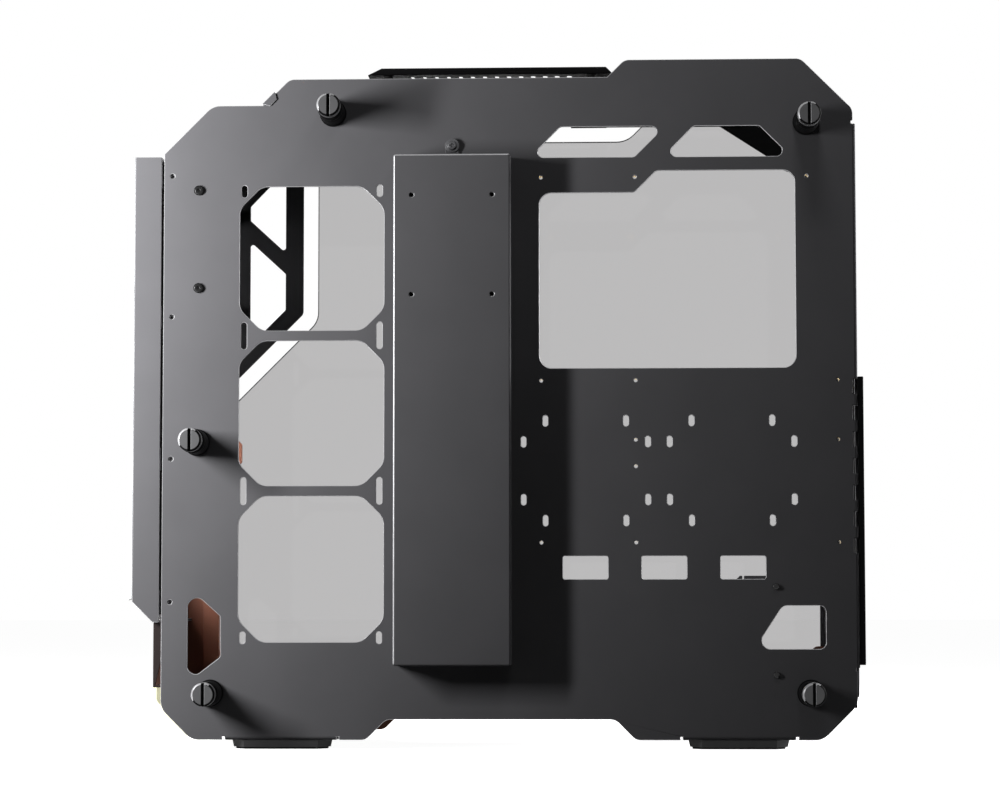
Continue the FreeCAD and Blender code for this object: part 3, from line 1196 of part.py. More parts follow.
os.makedirs("parts", exist_ok=True)
for label, item in nodes.items():
    shape = item.Shape
    if shape.isNull() or not shape.isValid() or not shape.Solids:
        raise RuntimeError(f"{label} has no valid solid")
    shape.exportStep(f"parts/{label}.step")
    print(f"{label}: {len(shape.Solids)} solids, {shape.Volume / 1000:.1f} cm3")
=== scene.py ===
import json
import math

import bpy
from bpy.props import FloatProperty, FloatVectorProperty, PointerProperty
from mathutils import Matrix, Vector

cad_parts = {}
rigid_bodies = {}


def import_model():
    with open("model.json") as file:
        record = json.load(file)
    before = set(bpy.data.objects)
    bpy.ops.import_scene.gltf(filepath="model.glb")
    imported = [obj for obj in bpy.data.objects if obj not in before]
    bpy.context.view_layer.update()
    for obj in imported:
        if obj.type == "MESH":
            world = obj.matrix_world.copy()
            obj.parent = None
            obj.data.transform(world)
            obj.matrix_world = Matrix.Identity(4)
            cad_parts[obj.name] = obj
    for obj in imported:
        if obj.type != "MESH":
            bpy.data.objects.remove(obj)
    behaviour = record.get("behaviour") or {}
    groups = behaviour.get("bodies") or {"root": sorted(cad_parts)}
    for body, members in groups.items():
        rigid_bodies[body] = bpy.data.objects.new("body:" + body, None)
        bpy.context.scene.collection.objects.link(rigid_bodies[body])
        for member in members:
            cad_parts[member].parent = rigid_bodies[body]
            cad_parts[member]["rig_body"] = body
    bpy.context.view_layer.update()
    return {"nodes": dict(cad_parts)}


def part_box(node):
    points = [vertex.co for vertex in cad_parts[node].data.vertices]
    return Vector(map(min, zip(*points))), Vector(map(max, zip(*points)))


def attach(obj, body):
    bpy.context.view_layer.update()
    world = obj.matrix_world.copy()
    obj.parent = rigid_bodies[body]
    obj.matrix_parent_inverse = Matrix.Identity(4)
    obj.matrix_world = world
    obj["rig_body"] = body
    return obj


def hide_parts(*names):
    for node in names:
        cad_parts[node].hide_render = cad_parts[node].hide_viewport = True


bl_info = {
    "name": "Mid tower PC case",
    "version": (1, 0, 0),
    "blender": (4, 5, 0),
    "location": "3D View > Sidebar > PC Case",
    "description": "Dresses the sheets, glass, knobs and ports of a PC case and lights it",
    "category": "Object",
}

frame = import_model()

# Places of the axes in a point or a normal
X, Y, Z = 0, 1, 2

# Places in a sheet's list of finishes
FACE, RIM = 0, 1

# Steps across a bevel
CHAMFER, ROUNDING = 1, 2

# Limits on the parts of a face's normal that tell what the face is
WALL_MOST = 0.2
UP_FRONT_LEAST = 0.2
BEVEL_LEAST = 0.3
PANE_EDGE_MOST = 0.5
# Faces of the chin turned this far towards the cable side get its painted shade.
SHADED_CHEEK_LEAST = 0.7
FLAT_LEAST = 0.95
FOLD_MOST = 0.98

# The band that most of a noise's values lie in
NOISE_LOW, NOISE_HIGH = 0.3, 0.7

# Stretch of the faint lines that turning and brushing leave
TURNED_LINES = (1.0, 1.0, 8.0)


# Settings

def length_setting(name, description, default, precision=5):
    """A length in metres."""
    return FloatProperty(
        name=name, description=description, default=default, precision=precision,
        unit="LENGTH", subtype="DISTANCE")


def angle_setting(name, description, degrees):
    """An angle, given in degrees and kept in radians."""
    return FloatProperty(
        name=name, description=description, default=math.radians(degrees),
        unit="ROTATION", subtype="ANGLE")


def share_setting(name, description, default):
    """A share between none and all."""
    return FloatProperty(name=name, description=description, default=default, min=0, max=1)


def power_setting(name, description, default):
    """A lamp's power in watts."""
    return FloatProperty(name=name, description=description, default=default, unit="POWER")


def colour_setting(name, description, default):
    """A colour in linear light."""
    return FloatVectorProperty(
        name=name, description=description, default=default,
        size=3, subtype="COLOR", min=0, max=1)


def place_setting(name, description, default):
    """A point in the frame's metres."""
    return FloatVectorProperty(
        name=name, description=description, default=default,
        size=3, subtype="TRANSLATION", unit="LENGTH")


def size_setting(name, description, default):
    """Two sides of a lamp in metres."""
    return FloatVectorProperty(
        name=name, description=description, default=default, size=2, unit="LENGTH")


class CaseEdges(bpy.types.PropertyGroup):
    """Edge widths of the case's pieces and sizes of its seal and lining"""

    # The chamfer's shape is real; the rim finish's lighter colour on it is a painted highlight.
    rim_width: length_setting(
        "Rim width", "Chamfer with a painted highlight around the sheets and their cut-outs", 0.00038)
    fold_width: length_setting(
        "Fold width", "Rounded edge of the cable cover's folds", 0.0006)
    turned_width: length_setting(
        "Turned edge width", "Broken edge of knobs, posts, screws, washers and slot covers",
        0.00022)
    glass_width: length_setting(
        "Glass edge width", "Polished chamfer around the glass panels", 0.0005)
    moulded_width: length_setting(
        "Moulded edge width", "Rounded edge of buttons, feet, pads, seal and light strip",
        0.0003)
    sheet: length_setting(
        "Sheet", "Thickness of the front frame's sheet", 0.002)
    # The seal is a black strip that paints shade in the gap between the front frame and the tray.
    seal_thick: length_setting(
        "Seal thickness", "Thickness of the seal inside the front frame", 0.002)
    seal_lap: length_setting(
        "Seal lap", "How far the seal reaches behind the frame and the tray", 0.0045)
    seal_short: length_setting(
        "End gap", "How far the seal and the lining stop short of their sheets' ends", 0.006)
    chin_sheet: length_setting(
        "Chin sheet", "Thickness of the chin's sheet", 0.0015)
    apron_thick: length_setting(
        "Apron thickness", "Thickness of the copper apron inside the chin", 0.001)
    apron_long: length_setting(
        "Apron length", "How far the copper apron reaches back from the chin's face", 0.029)
    rib_start: length_setting(
        "Rib start", "Distance of the copper rib from the chin's face", 0.016)
    rib_rise: length_setting(
        "Rib rise", "How far the copper rib stands off the chin's wall", 0.012)
    lining_share: share_setting(
        "Lining height", "Share of the front frame's top height that the lining reaches", 0.25)
    fold_lap: length_setting(
        "Fold lap", "How far a fold reaches under the outer face", 0.003)
    rear_lap: length_setting(
        "Rear lap", "How far the tray's plain rear edge reaches ahead of the rear wall", 0.004)
    bore_wall: FloatProperty(
        name="Bore wall",
        description="Largest face, in square metres, that is a small hole's wall",
        default=0.0000022, precision=8)
    # Bevel light splits each knob bevel into a painted highlight towards the lamps and painted
    # shade in black away from them.
    bevel_light: FloatProperty(
        name="Bevel light", description="Where the painted highlight of a knob's bevel ends",
        default=0.25, precision=2)
    # The walls of the knob's slot, from slot top to slot depth, are painted black as shade.
    slot_top: length_setting(
        "Slot top", "Where the wall of a knob's slot starts under its face", 0.0004)
    slot_depth: length_setting(
        "Slot depth", "Depth of a knob's slot", 0.0035)
    bevel_angle: angle_setting(
        "Bevel angle", "Edges that turn by more than this angle are bevelled", 40)
    smooth_angle: angle_setting(
        "Smooth angle", "Faces that meet at less than this angle are shaded as one curve", 32)
    flat_angle: angle_setting(
        "Flat angle", "Triangles that meet at less than this angle become one face", 0.5)
    weld_gap: length_setting(
        "Weld gap", "Points nearer than this become one when triangles are merged",
        0.000002, precision=7)


class CaseColours(bpy.types.PropertyGroup):
    """Colours of the case's finishes"""

    coat: colour_setting(
        "Powder coat", "Satin dark grey of the frame sheets", (0.108, 0.107, 0.113))
    # Painted highlight: a lighter copy of the coat on the chamfers that stands for light caught on
    # the edges.
    rim: colour_setting(
        "Rim", "Painted highlight on the chamfer of the cut sheet", (0.36, 0.36, 0.37))
    # Painted highlight on the outward folds that face the lamps.
    fold: colour_setting(
        "Fold", "Painted highlight along the outward folds", (0.33, 0.33, 0.34))
    knob: colour_setting(
        "Knob", "Dark grey anodised knobs and buttons", (0.070, 0.070, 0.073))
    # Painted highlight on the side of the knobs' bevels that faces the lamps.
    knob_bevel: colour_setting(
        "Knob bevel", "Painted highlight on the lit part of the knobs' bevels", (0.33, 0.33, 0.34))
    # Black coat of the posts, rods, roof, rails and gusset; the same black is painted shade on the
    # truss wing, on the walls of small holes and in the knobs' slots and unlit bevels.
    black: colour_setting(
        "Black metal", "Posts, rods, roof, rails, gusset, and painted shade on the wing", (0.005, 0.005, 0.0053))
    black_screw: colour_setting(
        "Black screw", "Blackened screws", (0.010, 0.010, 0.0105))
    # Painted shade: a darker brown grey copy of the copper for the chin's chamfers and its faces
    # towards the cable side.
    shaded_cheek: colour_setting(
        "Cheek", "Brown grey painted shade on the side of the chin", (0.020, 0.0145, 0.014))
    screw: colour_setting(
        "Screw", "Dark nickel screw over the cable cover", (0.075, 0.075, 0.08))
    brass: colour_setting(
        "Brass", "Motherboard standoffs and board pillars", (0.72, 0.55, 0.22))
    copper: colour_setting(
        "Copper coat", "Copper coloured inner frame, chin and lining", (0.14, 0.050, 0.028))
    glass: colour_setting(
        "Glass", "Light grey tint of the tempered glass", (0.497, 0.492, 0.494))
    glass_edge: colour_setting(
        "Glass edge", "Ground edge of the front glass", (0.82, 0.84, 0.84))
    dark_edge: colour_setting(
        "Dark glass edge", "Edge of the side glass, dark against the light",
        (0.03, 0.032, 0.032))
    lamp: colour_setting(
        "Light strip", "Pale yellow light guide under the front frame", (0.94, 0.93, 0.64))
    # Rubber also colours the strip that paints shade in the front gap.
    rubber: colour_setting(
        "Rubber", "Pads, washers, bumpers and the strip of painted shade in the front gap", (0.014, 0.014, 0.014))
    plastic: colour_setting(
        "Plastic", "Black plastic of the feet, switches and audio jack", (0.03, 0.03, 0.031))
    board: colour_setting(
        "Board", "Solder mask of the port board", (0.012, 0.05, 0.022))
    socket: colour_setting(
        "Socket", "Plated shells of the ports", (0.55, 0.55, 0.57))


class CaseStudio(bpy.types.PropertyGroup):
    """Camera, lamps, floor and background"""

    camera_place: place_setting(
        "Camera place", "Where the camera stands", (2.246, 0.0841, 0.1126))
    camera_turn: FloatVectorProperty(
        name="Camera turn", description="How the camera is turned",
        default=(math.radians(94.07401), math.radians(0.052594), math.radians(92.2023)),
        size=3, subtype="EULER", unit="ROTATION")
    camera_lens: FloatProperty(
        name="Lens", description="Focal length in millimetres", default=101.79, min=1)
    camera_sensor: FloatProperty(
        name="Sensor", description="Width of the sensor in millimetres", default=36, min=1)
    camera_reach: length_setting(
        "Camera reach", "How far the camera sees", 100.0)
    key_place: place_setting(
        "Front lamp place", "Soft lamp ahead of the case on the cable side",
        (0.41, -0.673, 0.40))
    key_aim: place_setting(
        "Front lamp aim", "Point that the front lamp faces", (0.078, -0.723, 0.43))
    key_size: size_setting(
        "Front lamp size", "Width and height of the front lamp", (0.31, 0.18))
    key_power: power_setting(
        "Front lamp power", "Watts of the front lamp", 24.8)
    top_place: place_setting(
        "Top lamp place", "Weak lamp above the cable side", (0.36, 0.19, 0.98))
    top_aim: place_setting(
        "Top lamp aim", "Point that the top lamp faces", (0.078, 0.21, 0.45))
    top_size: size_setting(
        "Top lamp size", "Width and length of the top lamp", (0.16, 0.16))
    top_power: power_setting(
        "Top lamp power", "Watts of the top lamp", 0.82)
    side_place: place_setting(
        "Glass side lamp place", "Soft lamp on the glass side", (-1.2, -0.35, 0.7))
    side_power: power_setting(
        "Glass side lamp power", "Watts of the lamp on the glass side", 30.0)
    rear_place: place_setting(
        "Rear lamp place", "Soft lamp behind the case", (-0.35, 1.2, 0.6))
    rear_power: power_setting(
        "Rear lamp power", "Watts of the rear lamp", 22.0)
    fill_size: size_setting(
        "Fill lamp size", "Width and height of the glass side and rear lamps", (0.7, 0.7))
    fill_aim: place_setting(
        "Fill lamp aim", "Point that the glass side and rear lamps face", (0.0, 0.0, 0.25))
    ambient: share_setting(
        "Ambient", "Strength of the light that comes from all round", 0.012)
    floor_reach: length_setting(
        "Floor reach", "Side of the square floor", 30.0)
    floor_tone: share_setting(
        "Floor tone", "How light the floor is where it is seen", 0.8)
    floor_white: share_setting(
        "Floor white", "How much of the floor's brightness is its own", 0.97)
    floor_bounce: share_setting(
        "Floor bounce", "How much lamp light the floor sends back to the case", 0.06)


# Finishes

def new_material(name):
    """A node material with a Principled shader wired to its output."""
    material = bpy.data.materials.new(name)
    material.use_nodes = True
    tree = material.node_tree
    tree.nodes.clear()
    output = tree.nodes.new("ShaderNodeOutputMaterial")
    shader = tree.nodes.new("ShaderNodeBsdfPrincipled")
    tree.links.new(shader.outputs["BSDF"], output.inputs["Surface"])
    return material, shader


def noise_on_object(tree, scale, detail, stretch=(1.0, 1.0, 1.0)):
    """Noise on the piece's own coordinates, in waves per metre."""
    place = tree.nodes.new("ShaderNodeTexCoord")
    mapping = tree.nodes.new("ShaderNodeMapping")
    mapping.inputs["Scale"].default_value = stretch
    noise = tree.nodes.new("ShaderNodeTexNoise")
    noise.inputs["Scale"].default_value = scale
    noise.inputs["Detail"].default_value = detail
    tree.links.new(place.outputs["Object"], mapping.inputs["Vector"])
    tree.links.new(mapping.outputs["Vector"], noise.inputs["Vector"])
    return noise.outputs["Fac"]


def drifting_colour(tree, shader, colour, spread, scale):
    """Base colour that drifts a little darker and lighter over the surface."""
    ramp = tree.nodes.new("ShaderNodeValToRGB")
    low, high = ramp.color_ramp.elements
    low.position = NOISE_LOW
    high.position = NOISE_HIGH
    low.color = [part * (1 - spread) for part in colour] + [1]
    high.color = [min(part * (1 + spread), 1) for part in colour] + [1]
    tree.links.new(noise_on_object(tree, scale, detail=3.0), ramp.inputs["Fac"])
    tree.links.new(ramp.outputs["Color"], shader.inputs["Base Color"])


def drifting_roughness(tree, shader, low, high, scale, stretch=(1.0, 1.0, 1.0)):
    """Roughness that drifts between two values over the surface."""
    spread = tree.nodes.new("ShaderNodeMapRange")
    spread.inputs["From Min"].default_value = NOISE_LOW
    spread.inputs["From Max"].default_value = NOISE_HIGH
    spread.inputs["To Min"].default_value = low
    spread.inputs["To Max"].default_value = high
    noise = noise_on_object(tree, scale, detail=2.0, stretch=stretch)
    tree.links.new(noise, spread.inputs["Value"])
    tree.links.new(spread.outputs["Result"], shader.inputs["Roughness"])


def fine_relief(tree, shader, scale, depth, strength, stretch=(1.0, 1.0, 1.0)):
    """Small bumps of the finish, such as orange peel or brushing."""
    bump = tree.nodes.new("ShaderNodeBump")
    bump.inputs["Distance"].default_value = depth
    bump.inputs["Strength"].default_value = strength
    noise = noise_on_object(tree, scale, detail=2.0, stretch=stretch)
    tree.links.new(noise, bump.inputs["Height"])
    tree.links.new(bump.outputs["Normal"], shader.inputs["Normal"])


def powder_coat(name, colour, gloss, roughness):
    """Sprayed and baked coat with a fine orange peel."""
    material, shader = new_material(name)
    tree = material.node_tree
    shader.inputs["Specular IOR Level"].default_value = gloss
    drifting_colour(tree, shader, colour, spread=0.035, scale=22.0)
    drifting_roughness(tree, shader, roughness - 0.05, roughness + 0.05, scale=60.0)
    fine_relief(tree, shader, scale=2600.0, depth=0.00003, strength=0.35)
    return material


def bare_metal(name, colour, metallic, roughness):
    """Bare or plated metal with faint lines."""
    material, shader = new_material(name)
    tree = material.node_tree
    shader.inputs["Metallic"].default_value = metallic
    drifting_colour(tree, shader, colour, spread=0.06, scale=90.0)
    drifting_roughness(
        tree, shader, roughness - 0.06, roughness + 0.08, scale=700.0, stretch=TURNED_LINES)
    fine_relief(tree, shader, scale=1500.0, depth=0.00001, strength=0.25, stretch=TURNED_LINES)
    return material


def moulded(name, colour, gloss, roughness):
    """Moulded plastic or rubber with a fine spark texture."""
    material, shader = new_material(name)
    tree = material.node_tree
    shader.inputs["Specular IOR Level"].default_value = gloss
    drifting_colour(tree, shader, colour, spread=0.10, scale=140.0)
    drifting_roughness(tree, shader, roughness - 0.06, roughness + 0.06, scale=300.0)
    fine_relief(tree, shader, scale=3500.0, depth=0.00004, strength=0.4)
    return material


def tinted_glass(name, colour):
    """Tempered glass with faint smudges, which lets lamp light through to what lies behind."""
    material, shader = new_material(name)
    tree = material.node_tree
    shader.inputs["Base Color"].default_value = [*colour, 1]
    shader.inputs["Transmission Weight"].default_value = 1.0
    shader.inputs["IOR"].default_value = 1.2
    drifting_roughness(tree, shader, low=0.0, high=0.012, scale=9.0)
    clear = tree.nodes.new("ShaderNodeBsdfTransparent")
    clear.inputs["Color"].default_value = [math.sqrt(part) for part in colour] + [1]
    rays = tree.nodes.new("ShaderNodeLightPath")
    mix = tree.nodes.new("ShaderNodeMixShader")
    output = tree.nodes["Material Output"]
    tree.links.new(rays.outputs["Is Shadow Ray"], mix.inputs["Fac"])
    tree.links.new(shader.outputs["BSDF"], mix.inputs[1])
    tree.links.new(clear.outputs["BSDF"], mix.inputs[2])
    tree.links.new(mix.outputs["Shader"], output.inputs["Surface"])
    return material


def glowing(name, colour, glow):
    """Milky light guide with a painted glow: it shines a little by itself, with no lamp behind it.
    """
    material, shader = new_material(name)
    tree = material.node_tree
    shader.inputs["Emission Color"].default_value = [*colour, 1]
    shader.inputs["Emission Strength"].default_value = glow
    drifting_colour(tree, shader, colour, spread=0.03, scale=120.0)
    drifting_roughness(tree, shader, low=0.35, high=0.45, scale=200.0)
    return material


def make_finishes(colours):
    """All finishes of the case by their short names."""
    return {
        "dark": powder_coat(
            "satin dark grey powder coat", colours.coat, gloss=0.03, roughness=0.55),
        # The rim finish is a painted highlight on the cut edges.
        "rim": bare_metal("painted highlight on cut edges", colours.rim, metallic=0.55, roughness=0.42),
        # The fold finish is a painted highlight.
        "fold": bare_metal("painted fold highlight", colours.fold, metallic=0.55, roughness=0.42),
        "knob": bare_metal("dark grey anodised", colours.knob, metallic=0.0, roughness=0.48),
        # The knob bevel finish is a painted highlight.
        "knob_bevel": bare_metal(
            "painted knob bevel highlight", colours.knob_bevel, metallic=0.35, roughness=0.34),
        # Black coat, also used as painted shade.
        "black_metal": powder_coat(
            "black powder coat and painted shade", colours.black, gloss=0.02, roughness=0.5),
        "black_screw": bare_metal(
            "black oxide screw", colours.black_screw, metallic=0.6, roughness=0.26),
        # The cheek finish is painted shade on the copper chin.
        "shaded_cheek": powder_coat("brown grey painted chin shade", colours.shaded_cheek, gloss=0.12, roughness=0.55),
        "screw": bare_metal("dark nickel", colours.screw, metallic=0.35, roughness=0.42),
        "brass": bare_metal("turned brass", colours.brass, metallic=1.0, roughness=0.32),
        "copper": powder_coat("copper powder coat", colours.copper, gloss=0.25, roughness=0.46),
        "clear_glass": tinted_glass("tinted tempered glass", colours.glass),
        "glass_edge": moulded("ground glass edge", colours.glass_edge, gloss=0.5, roughness=0.3),
        "dark_edge": moulded("dark glass edge", colours.dark_edge, gloss=0.5, roughness=0.3),
        # The light guide's glow is painted light; no lamp lights it.
        "light": glowing("milky light guide", colours.lamp, glow=0.55),
        "rubber": moulded("black rubber", colours.rubber, gloss=0.1, roughness=0.75),
        "plastic": moulded("black plastic", colours.plastic, gloss=0.2, roughness=0.5),
        "board": moulded("green solder mask", colours.board, gloss=0.4, roughness=0.35),
        "socket": bare_metal("plated shell", colours.socket, metallic=0.9, roughness=0.3),
    }


FINISHES = {}


def finish(name):
    """The finish with a short name; all are made when the first is asked for."""
    if not FINISHES:
        FINISHES.update(make_finishes(bpy.context.scene.case_colours))
    return FINISHES[name]


def add_finish(piece, name):
    """Adds a finish to a piece's list and tells its place there."""
    piece.data.materials.append(finish(name))
    return len(piece.data.materials) - 1


# Shaping

def body_of_node(node):
    """The body that a node rides on."""
    return frame["nodes"][node]["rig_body"]


def merged_copy(node, *finishes):
    """A copy of a node in its finishes, with loose triangles merged into whole faces."""
    edges = bpy.context.scene.case_edges
    bpy.ops.object.select_all(action="DESELECT")
    piece = bpy.data.objects.new(node + "_finished", frame["nodes"][node].data.copy())
    bpy.context.scene.collection.objects.link(piece)
    bpy.context.view_layer.objects.active = piece
    piece.select_set(True)
    bpy.ops.mesh.customdata_custom_splitnormals_clear()
    bpy.ops.object.mode_set(mode="EDIT")
    bpy.ops.mesh.select_all(action="SELECT")
    bpy.ops.mesh.remove_doubles(threshold=edges.weld_gap)
    bpy.ops.mesh.dissolve_limited(angle_limit=edges.flat_angle)
    bpy.ops.mesh.vert_connect_concave()
    bpy.ops.object.mode_set(mode="OBJECT")
    piece.data.materials.clear()
    for name in finishes:
        add_finish(piece, name)
    return piece


def bevel_edges(piece, width, segments, finish_place=-1):
    """Bevels the sharp edges of the active piece and shades it; -1 keeps the faces' finish."""
    edges = bpy.context.scene.case_edges
    bevel = piece.modifiers.new("edges", "BEVEL")
    bevel.width = width
    bevel.segments = segments
    bevel.limit_method = "ANGLE"
    bevel.angle_limit = edges.bevel_angle
    bevel.use_clamp_overlap = False
    bevel.loop_slide = False
    bevel.material = finish_place
    bpy.ops.object.modifier_apply(modifier=bevel.name)
    bpy.ops.object.shade_smooth_by_angle(angle=edges.smooth_angle)
    even = piece.modifiers.new("even shading", "WEIGHTED_NORMAL")
    even.mode = "FACE_AREA"
    even.keep_sharp = True
    bpy.ops.object.modifier_apply(modifier=even.name)


def settle(piece, node):
    """Lets a finished piece stand for its node."""
    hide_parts(node)
    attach(piece, body_of_node(node))


def dress_sheet(node, slot, width, rim="rim"):
    """Gives a cut sheet its chamfer in the rim's finish; the default rim finish is a lighter
    colour, a painted highlight on the chamfer.
    """
    piece = merged_copy(node, slot, rim)
    bevel_edges(piece, width, CHAMFER, RIM)
    settle(piece, node)
    return piece


def dress_solid(node, slot, width, segments=ROUNDING, coat=None):
    """Breaks a solid piece's edges in its slot's finish, or in another coat."""
    piece = merged_copy(node, coat or slot)
    bevel_edges(piece, width, segments)
    settle(piece, node)


def dress_glass(node, rim, across):
    """Polishes a pane and grinds its edge; across is the axis through the pane."""
    piece = merged_copy(node, "clear_glass", rim)
    bevel_edges(piece, bpy.context.scene.case_edges.glass_width, CHAMFER, RIM)
    bpy.ops.object.shade_flat()
    for face in piece.data.polygons:
        if abs(face.normal[across]) < PANE_EDGE_MOST:
            face.material_index = RIM
    settle(piece, node)


def paint_node(node, slot):
    """Gives a node its finish and leaves its shape."""
    mesh_object = frame["nodes"][node]
    mesh_object.data.materials.clear()
    mesh_object.data.materials.append(finish(slot))


def nodes_starting(text):
    """Names of the nodes that start with a text."""
    return sorted(name for name in frame["nodes"] if name.startswith(text))


def paint_fold_highlights(piece):
    """Paints a highlight on the outward folds at the front and the top of a sheet, the sides that
    face the lamps.
    """
    bright = add_finish(piece, "fold")
    outer = max(corner.co.x for corner in piece.data.vertices)
    lap = bpy.context.scene.case_edges.fold_lap
    for face in piece.data.polygons:
        bent = WALL_MOST < face.normal.x < FOLD_MOST
        # Only folds that face up or to the front, towards the lamps, get the painted highlight.
        up_front = face.normal.z - face.normal.y > UP_FRONT_LEAST
        if bent and up_front and face.center.x > outer - lap:
            face.material_index = bright


def blacken_bores(piece):
    """Darkens the walls of a sheet's small holes, which hardly any light reaches."""
    black = add_finish(piece, "black_metal")
    most = bpy.context.scene.case_edges.bore_wall
    for face in piece.data.polygons:
        if abs(face.normal.x) < WALL_MOST and face.area < most:
            face.material_index = black


def is_slot(face):
    """Whether a face of a knob belongs to its screwdriver slot."""
    return abs(face.normal.x) > FLAT_LEAST or abs(face.normal.y) > FLAT_LEAST


def paint_knob_highlight_and_shade(knobs):
    """Paints a highlight on the part of the knobs' bevels that faces the lamps, and paints shade
    in black on the rest of the bevels and in their slots.
    """
    edges = bpy.context.scene.case_edges
    black = add_finish(knobs, "black_metal")
    face_at = max(abs(corner.co.x) for corner in knobs.data.vertices)
    for face in knobs.data.polygons:
        inside = face_at - abs(face.center.x)
        if BEVEL_LEAST < abs(face.normal.x) < FLAT_LEAST:
            # Bevel faces that face the lamps get the painted highlight, the rest black as painted
            # shade.
            lit = face.normal.z - face.normal.y > edges.bevel_light
            face.material_index = RIM if lit else black
        # The walls of the slot are painted black as shade.
        if edges.slot_top < inside < edges.slot_depth and is_slot(face):
            face.material_index = black


def fit_strip(name, low, high, width, slot, carrier):
    """Fits an upright strip with rounded edges into a box, carried by a node's body."""
    bpy.ops.object.select_all(action="DESELECT")
    bpy.ops.mesh.primitive_cube_add(
        size=1, location=[(a + b) / 2 for a, b in zip(low, high)],
        scale=[b - a for a, b in zip(low, high)])
    bpy.ops.object.transform_apply(location=True, rotation=True, scale=True)
    strip = bpy.context.active_object
    strip.name = name
    bpy.ops.object.mode_set(mode="EDIT")
    bpy.ops.mesh.select_all(action="SELECT")
    bpy.ops.mesh.bevel(offset=width, segments=ROUNDING)
    bpy.ops.object.mode_set(mode="OBJECT")
    add_finish(strip, slot)
    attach(strip, body_of_node(carrier))


# Operators

class CASE_OT_tray(bpy.types.Operator):
    """Dress the tray plate, the rear wall, the cable cover and the rear gusset"""

    bl_idname = "case.tray"
    bl_label = "Tray"

    def execute(self, context):
        edges = context.scene.case_edges
        tray = dress_sheet("tray_plate", "dark", edges.rim_width)
        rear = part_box("rear_wall")[0][Y]
        for face in tray.data.polygons:
            if face.center.y > rear - edges.rear_lap:
                face.material_index = FACE
        blacken_bores(tray)
        dress_sheet("rear_wall", "dark", edges.rim_width, "dark")
        cover = dress_sheet("cable_cover", "dark", edges.fold_width, "dark")
        paint_fold_highlights(cover)
        blacken_bores(cover)
        dress_solid("rear_gusset", "black_metal", edges.rim_width, CHAMFER)
        return {"FINISHED"}


class CASE_OT_front(bpy.types.Operator):
    """Dress the front frame, the truss wing, the copper frame, the chin and its light"""

    bl_idname = "case.front"
    bl_label = "Front"

    def execute(self, context):
        edges = context.scene.case_edges
        paint_fold_highlights(dress_sheet("front_frame", "dark", edges.rim_width))
        # The truss wing is coated black as painted shade: it stands where the lamps hardly reach.
        dress_solid("truss_wing", "black_metal", edges.rim_width, CHAMFER)
        dress_solid("copper_frame", "copper", edges.rim_width, CHAMFER)
        chin = dress_sheet("chin_panel", "copper", edges.rim_width, "shaded_cheek")
        # Faces towards the cable side, like the chamfers, get the darker cheek finish as painted
        # shade.
        for face in chin.data.polygons:
            if face.normal.x > SHADED_CHEEK_LEAST:
                face.material_index = RIM
        dress_solid("chin_light", "light", edges.moulded_width)
        return {"FINISHED"}


class CASE_OT_seal(bpy.types.Operator):
    """Fit a black rubber strip behind the front gap, as painted shade in the gap, and the copper
    lining inside the chin
    """

    bl_idname = "case.seal"
    bl_label = "Seal and lining"

    def execute(self, context):
        edges = context.scene.case_edges
        frame_low, frame_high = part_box("front_frame")
        self.fit_gap_shade_strip(edges, frame_low, frame_high)
        self.fit_lining(edges, frame_high[Z] * edges.lining_share + edges.seal_short)
        return {"FINISHED"}

    # A black strip behind the gap between the front frame and the tray, as painted shade in that
    # gap.
    def fit_gap_shade_strip(self, edges, low, high):
        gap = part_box("tray_plate")[0][Y]
        near = high[X] - edges.sheet
        fit_strip(
            "front_gap_shade_strip",
            (near - edges.seal_thick, gap - edges.seal_lap, low[Z] + edges.seal_short),
            (near, gap + edges.seal_lap, high[Z] - edges.seal_short),
            edges.moulded_width, "rubber", "front_frame")

    def fit_lining(self, edges, top):
        side, face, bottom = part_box("chin_panel")[0]
        web = side + edges.chin_sheet
        outside = web + edges.apron_thick
        foot = bottom + edges.seal_short
        back = face + edges.apron_long
        fit_strip(
            "copper_apron", (web, face + edges.chin_sheet, foot), (outside, back, top),
            edges.turned_width, "copper", "chin_panel")
        fit_strip(
            "copper_rib", (outside, face + edges.rib_start, foot),
            (web + edges.rib_rise, back, top), edges.turned_width, "copper", "chin_panel")


class CASE_OT_roof(bpy.types.Operator):
    """Dress the roof and the panel that holds the ports and buttons"""

    bl_idname = "case.roof"
    bl_label = "Roof"

    def execute(self, context):
        edges = context.scene.case_edges
        dress_sheet("front_top_panel", "dark", edges.rim_width)
        dress_solid("top_fan_tray", "black_metal", edges.rim_width, CHAMFER)
        dress_solid("top_cover", "black_metal", edges.rim_width, CHAMFER)
        paint_node("top_cover_bumpers", "rubber")
        return {"FINISHED"}


class CASE_OT_rear(bpy.types.Operator):
    """Dress the slot covers, their rail, the bottom tray and the power supply's guide"""

    bl_idname = "case.rear"
    bl_label = "Rear"

    def execute(self, context):
        edges = context.scene.case_edges
        for node in nodes_starting("slot_cover_"):
            if node != "slot_cover_screws":
                dress_solid(node, "dark", edges.turned_width, CHAMFER)
        dress_solid("slot_rail", "black_metal", edges.rim_width, CHAMFER)
        dress_solid("bottom_tray", "black_metal", edges.rim_width, CHAMFER)
        dress_solid("psu_guide", "dark", edges.rim_width, CHAMFER)
        paint_node("psu_pads", "rubber")
        return {"FINISHED"}


class CASE_OT_glass(bpy.types.Operator):
    """Polish the side and front glass and dress their washers"""

    bl_idname = "case.glass"
    bl_label = "Glass"

    def execute(self, context):
        dress_glass("side_glass", "dark_edge", across=X)
        dress_glass("front_glass", "glass_edge", across=Y)
        dress_solid("glass_washers", "rubber", context.scene.case_edges.turned_width)
        return {"FINISHED"}


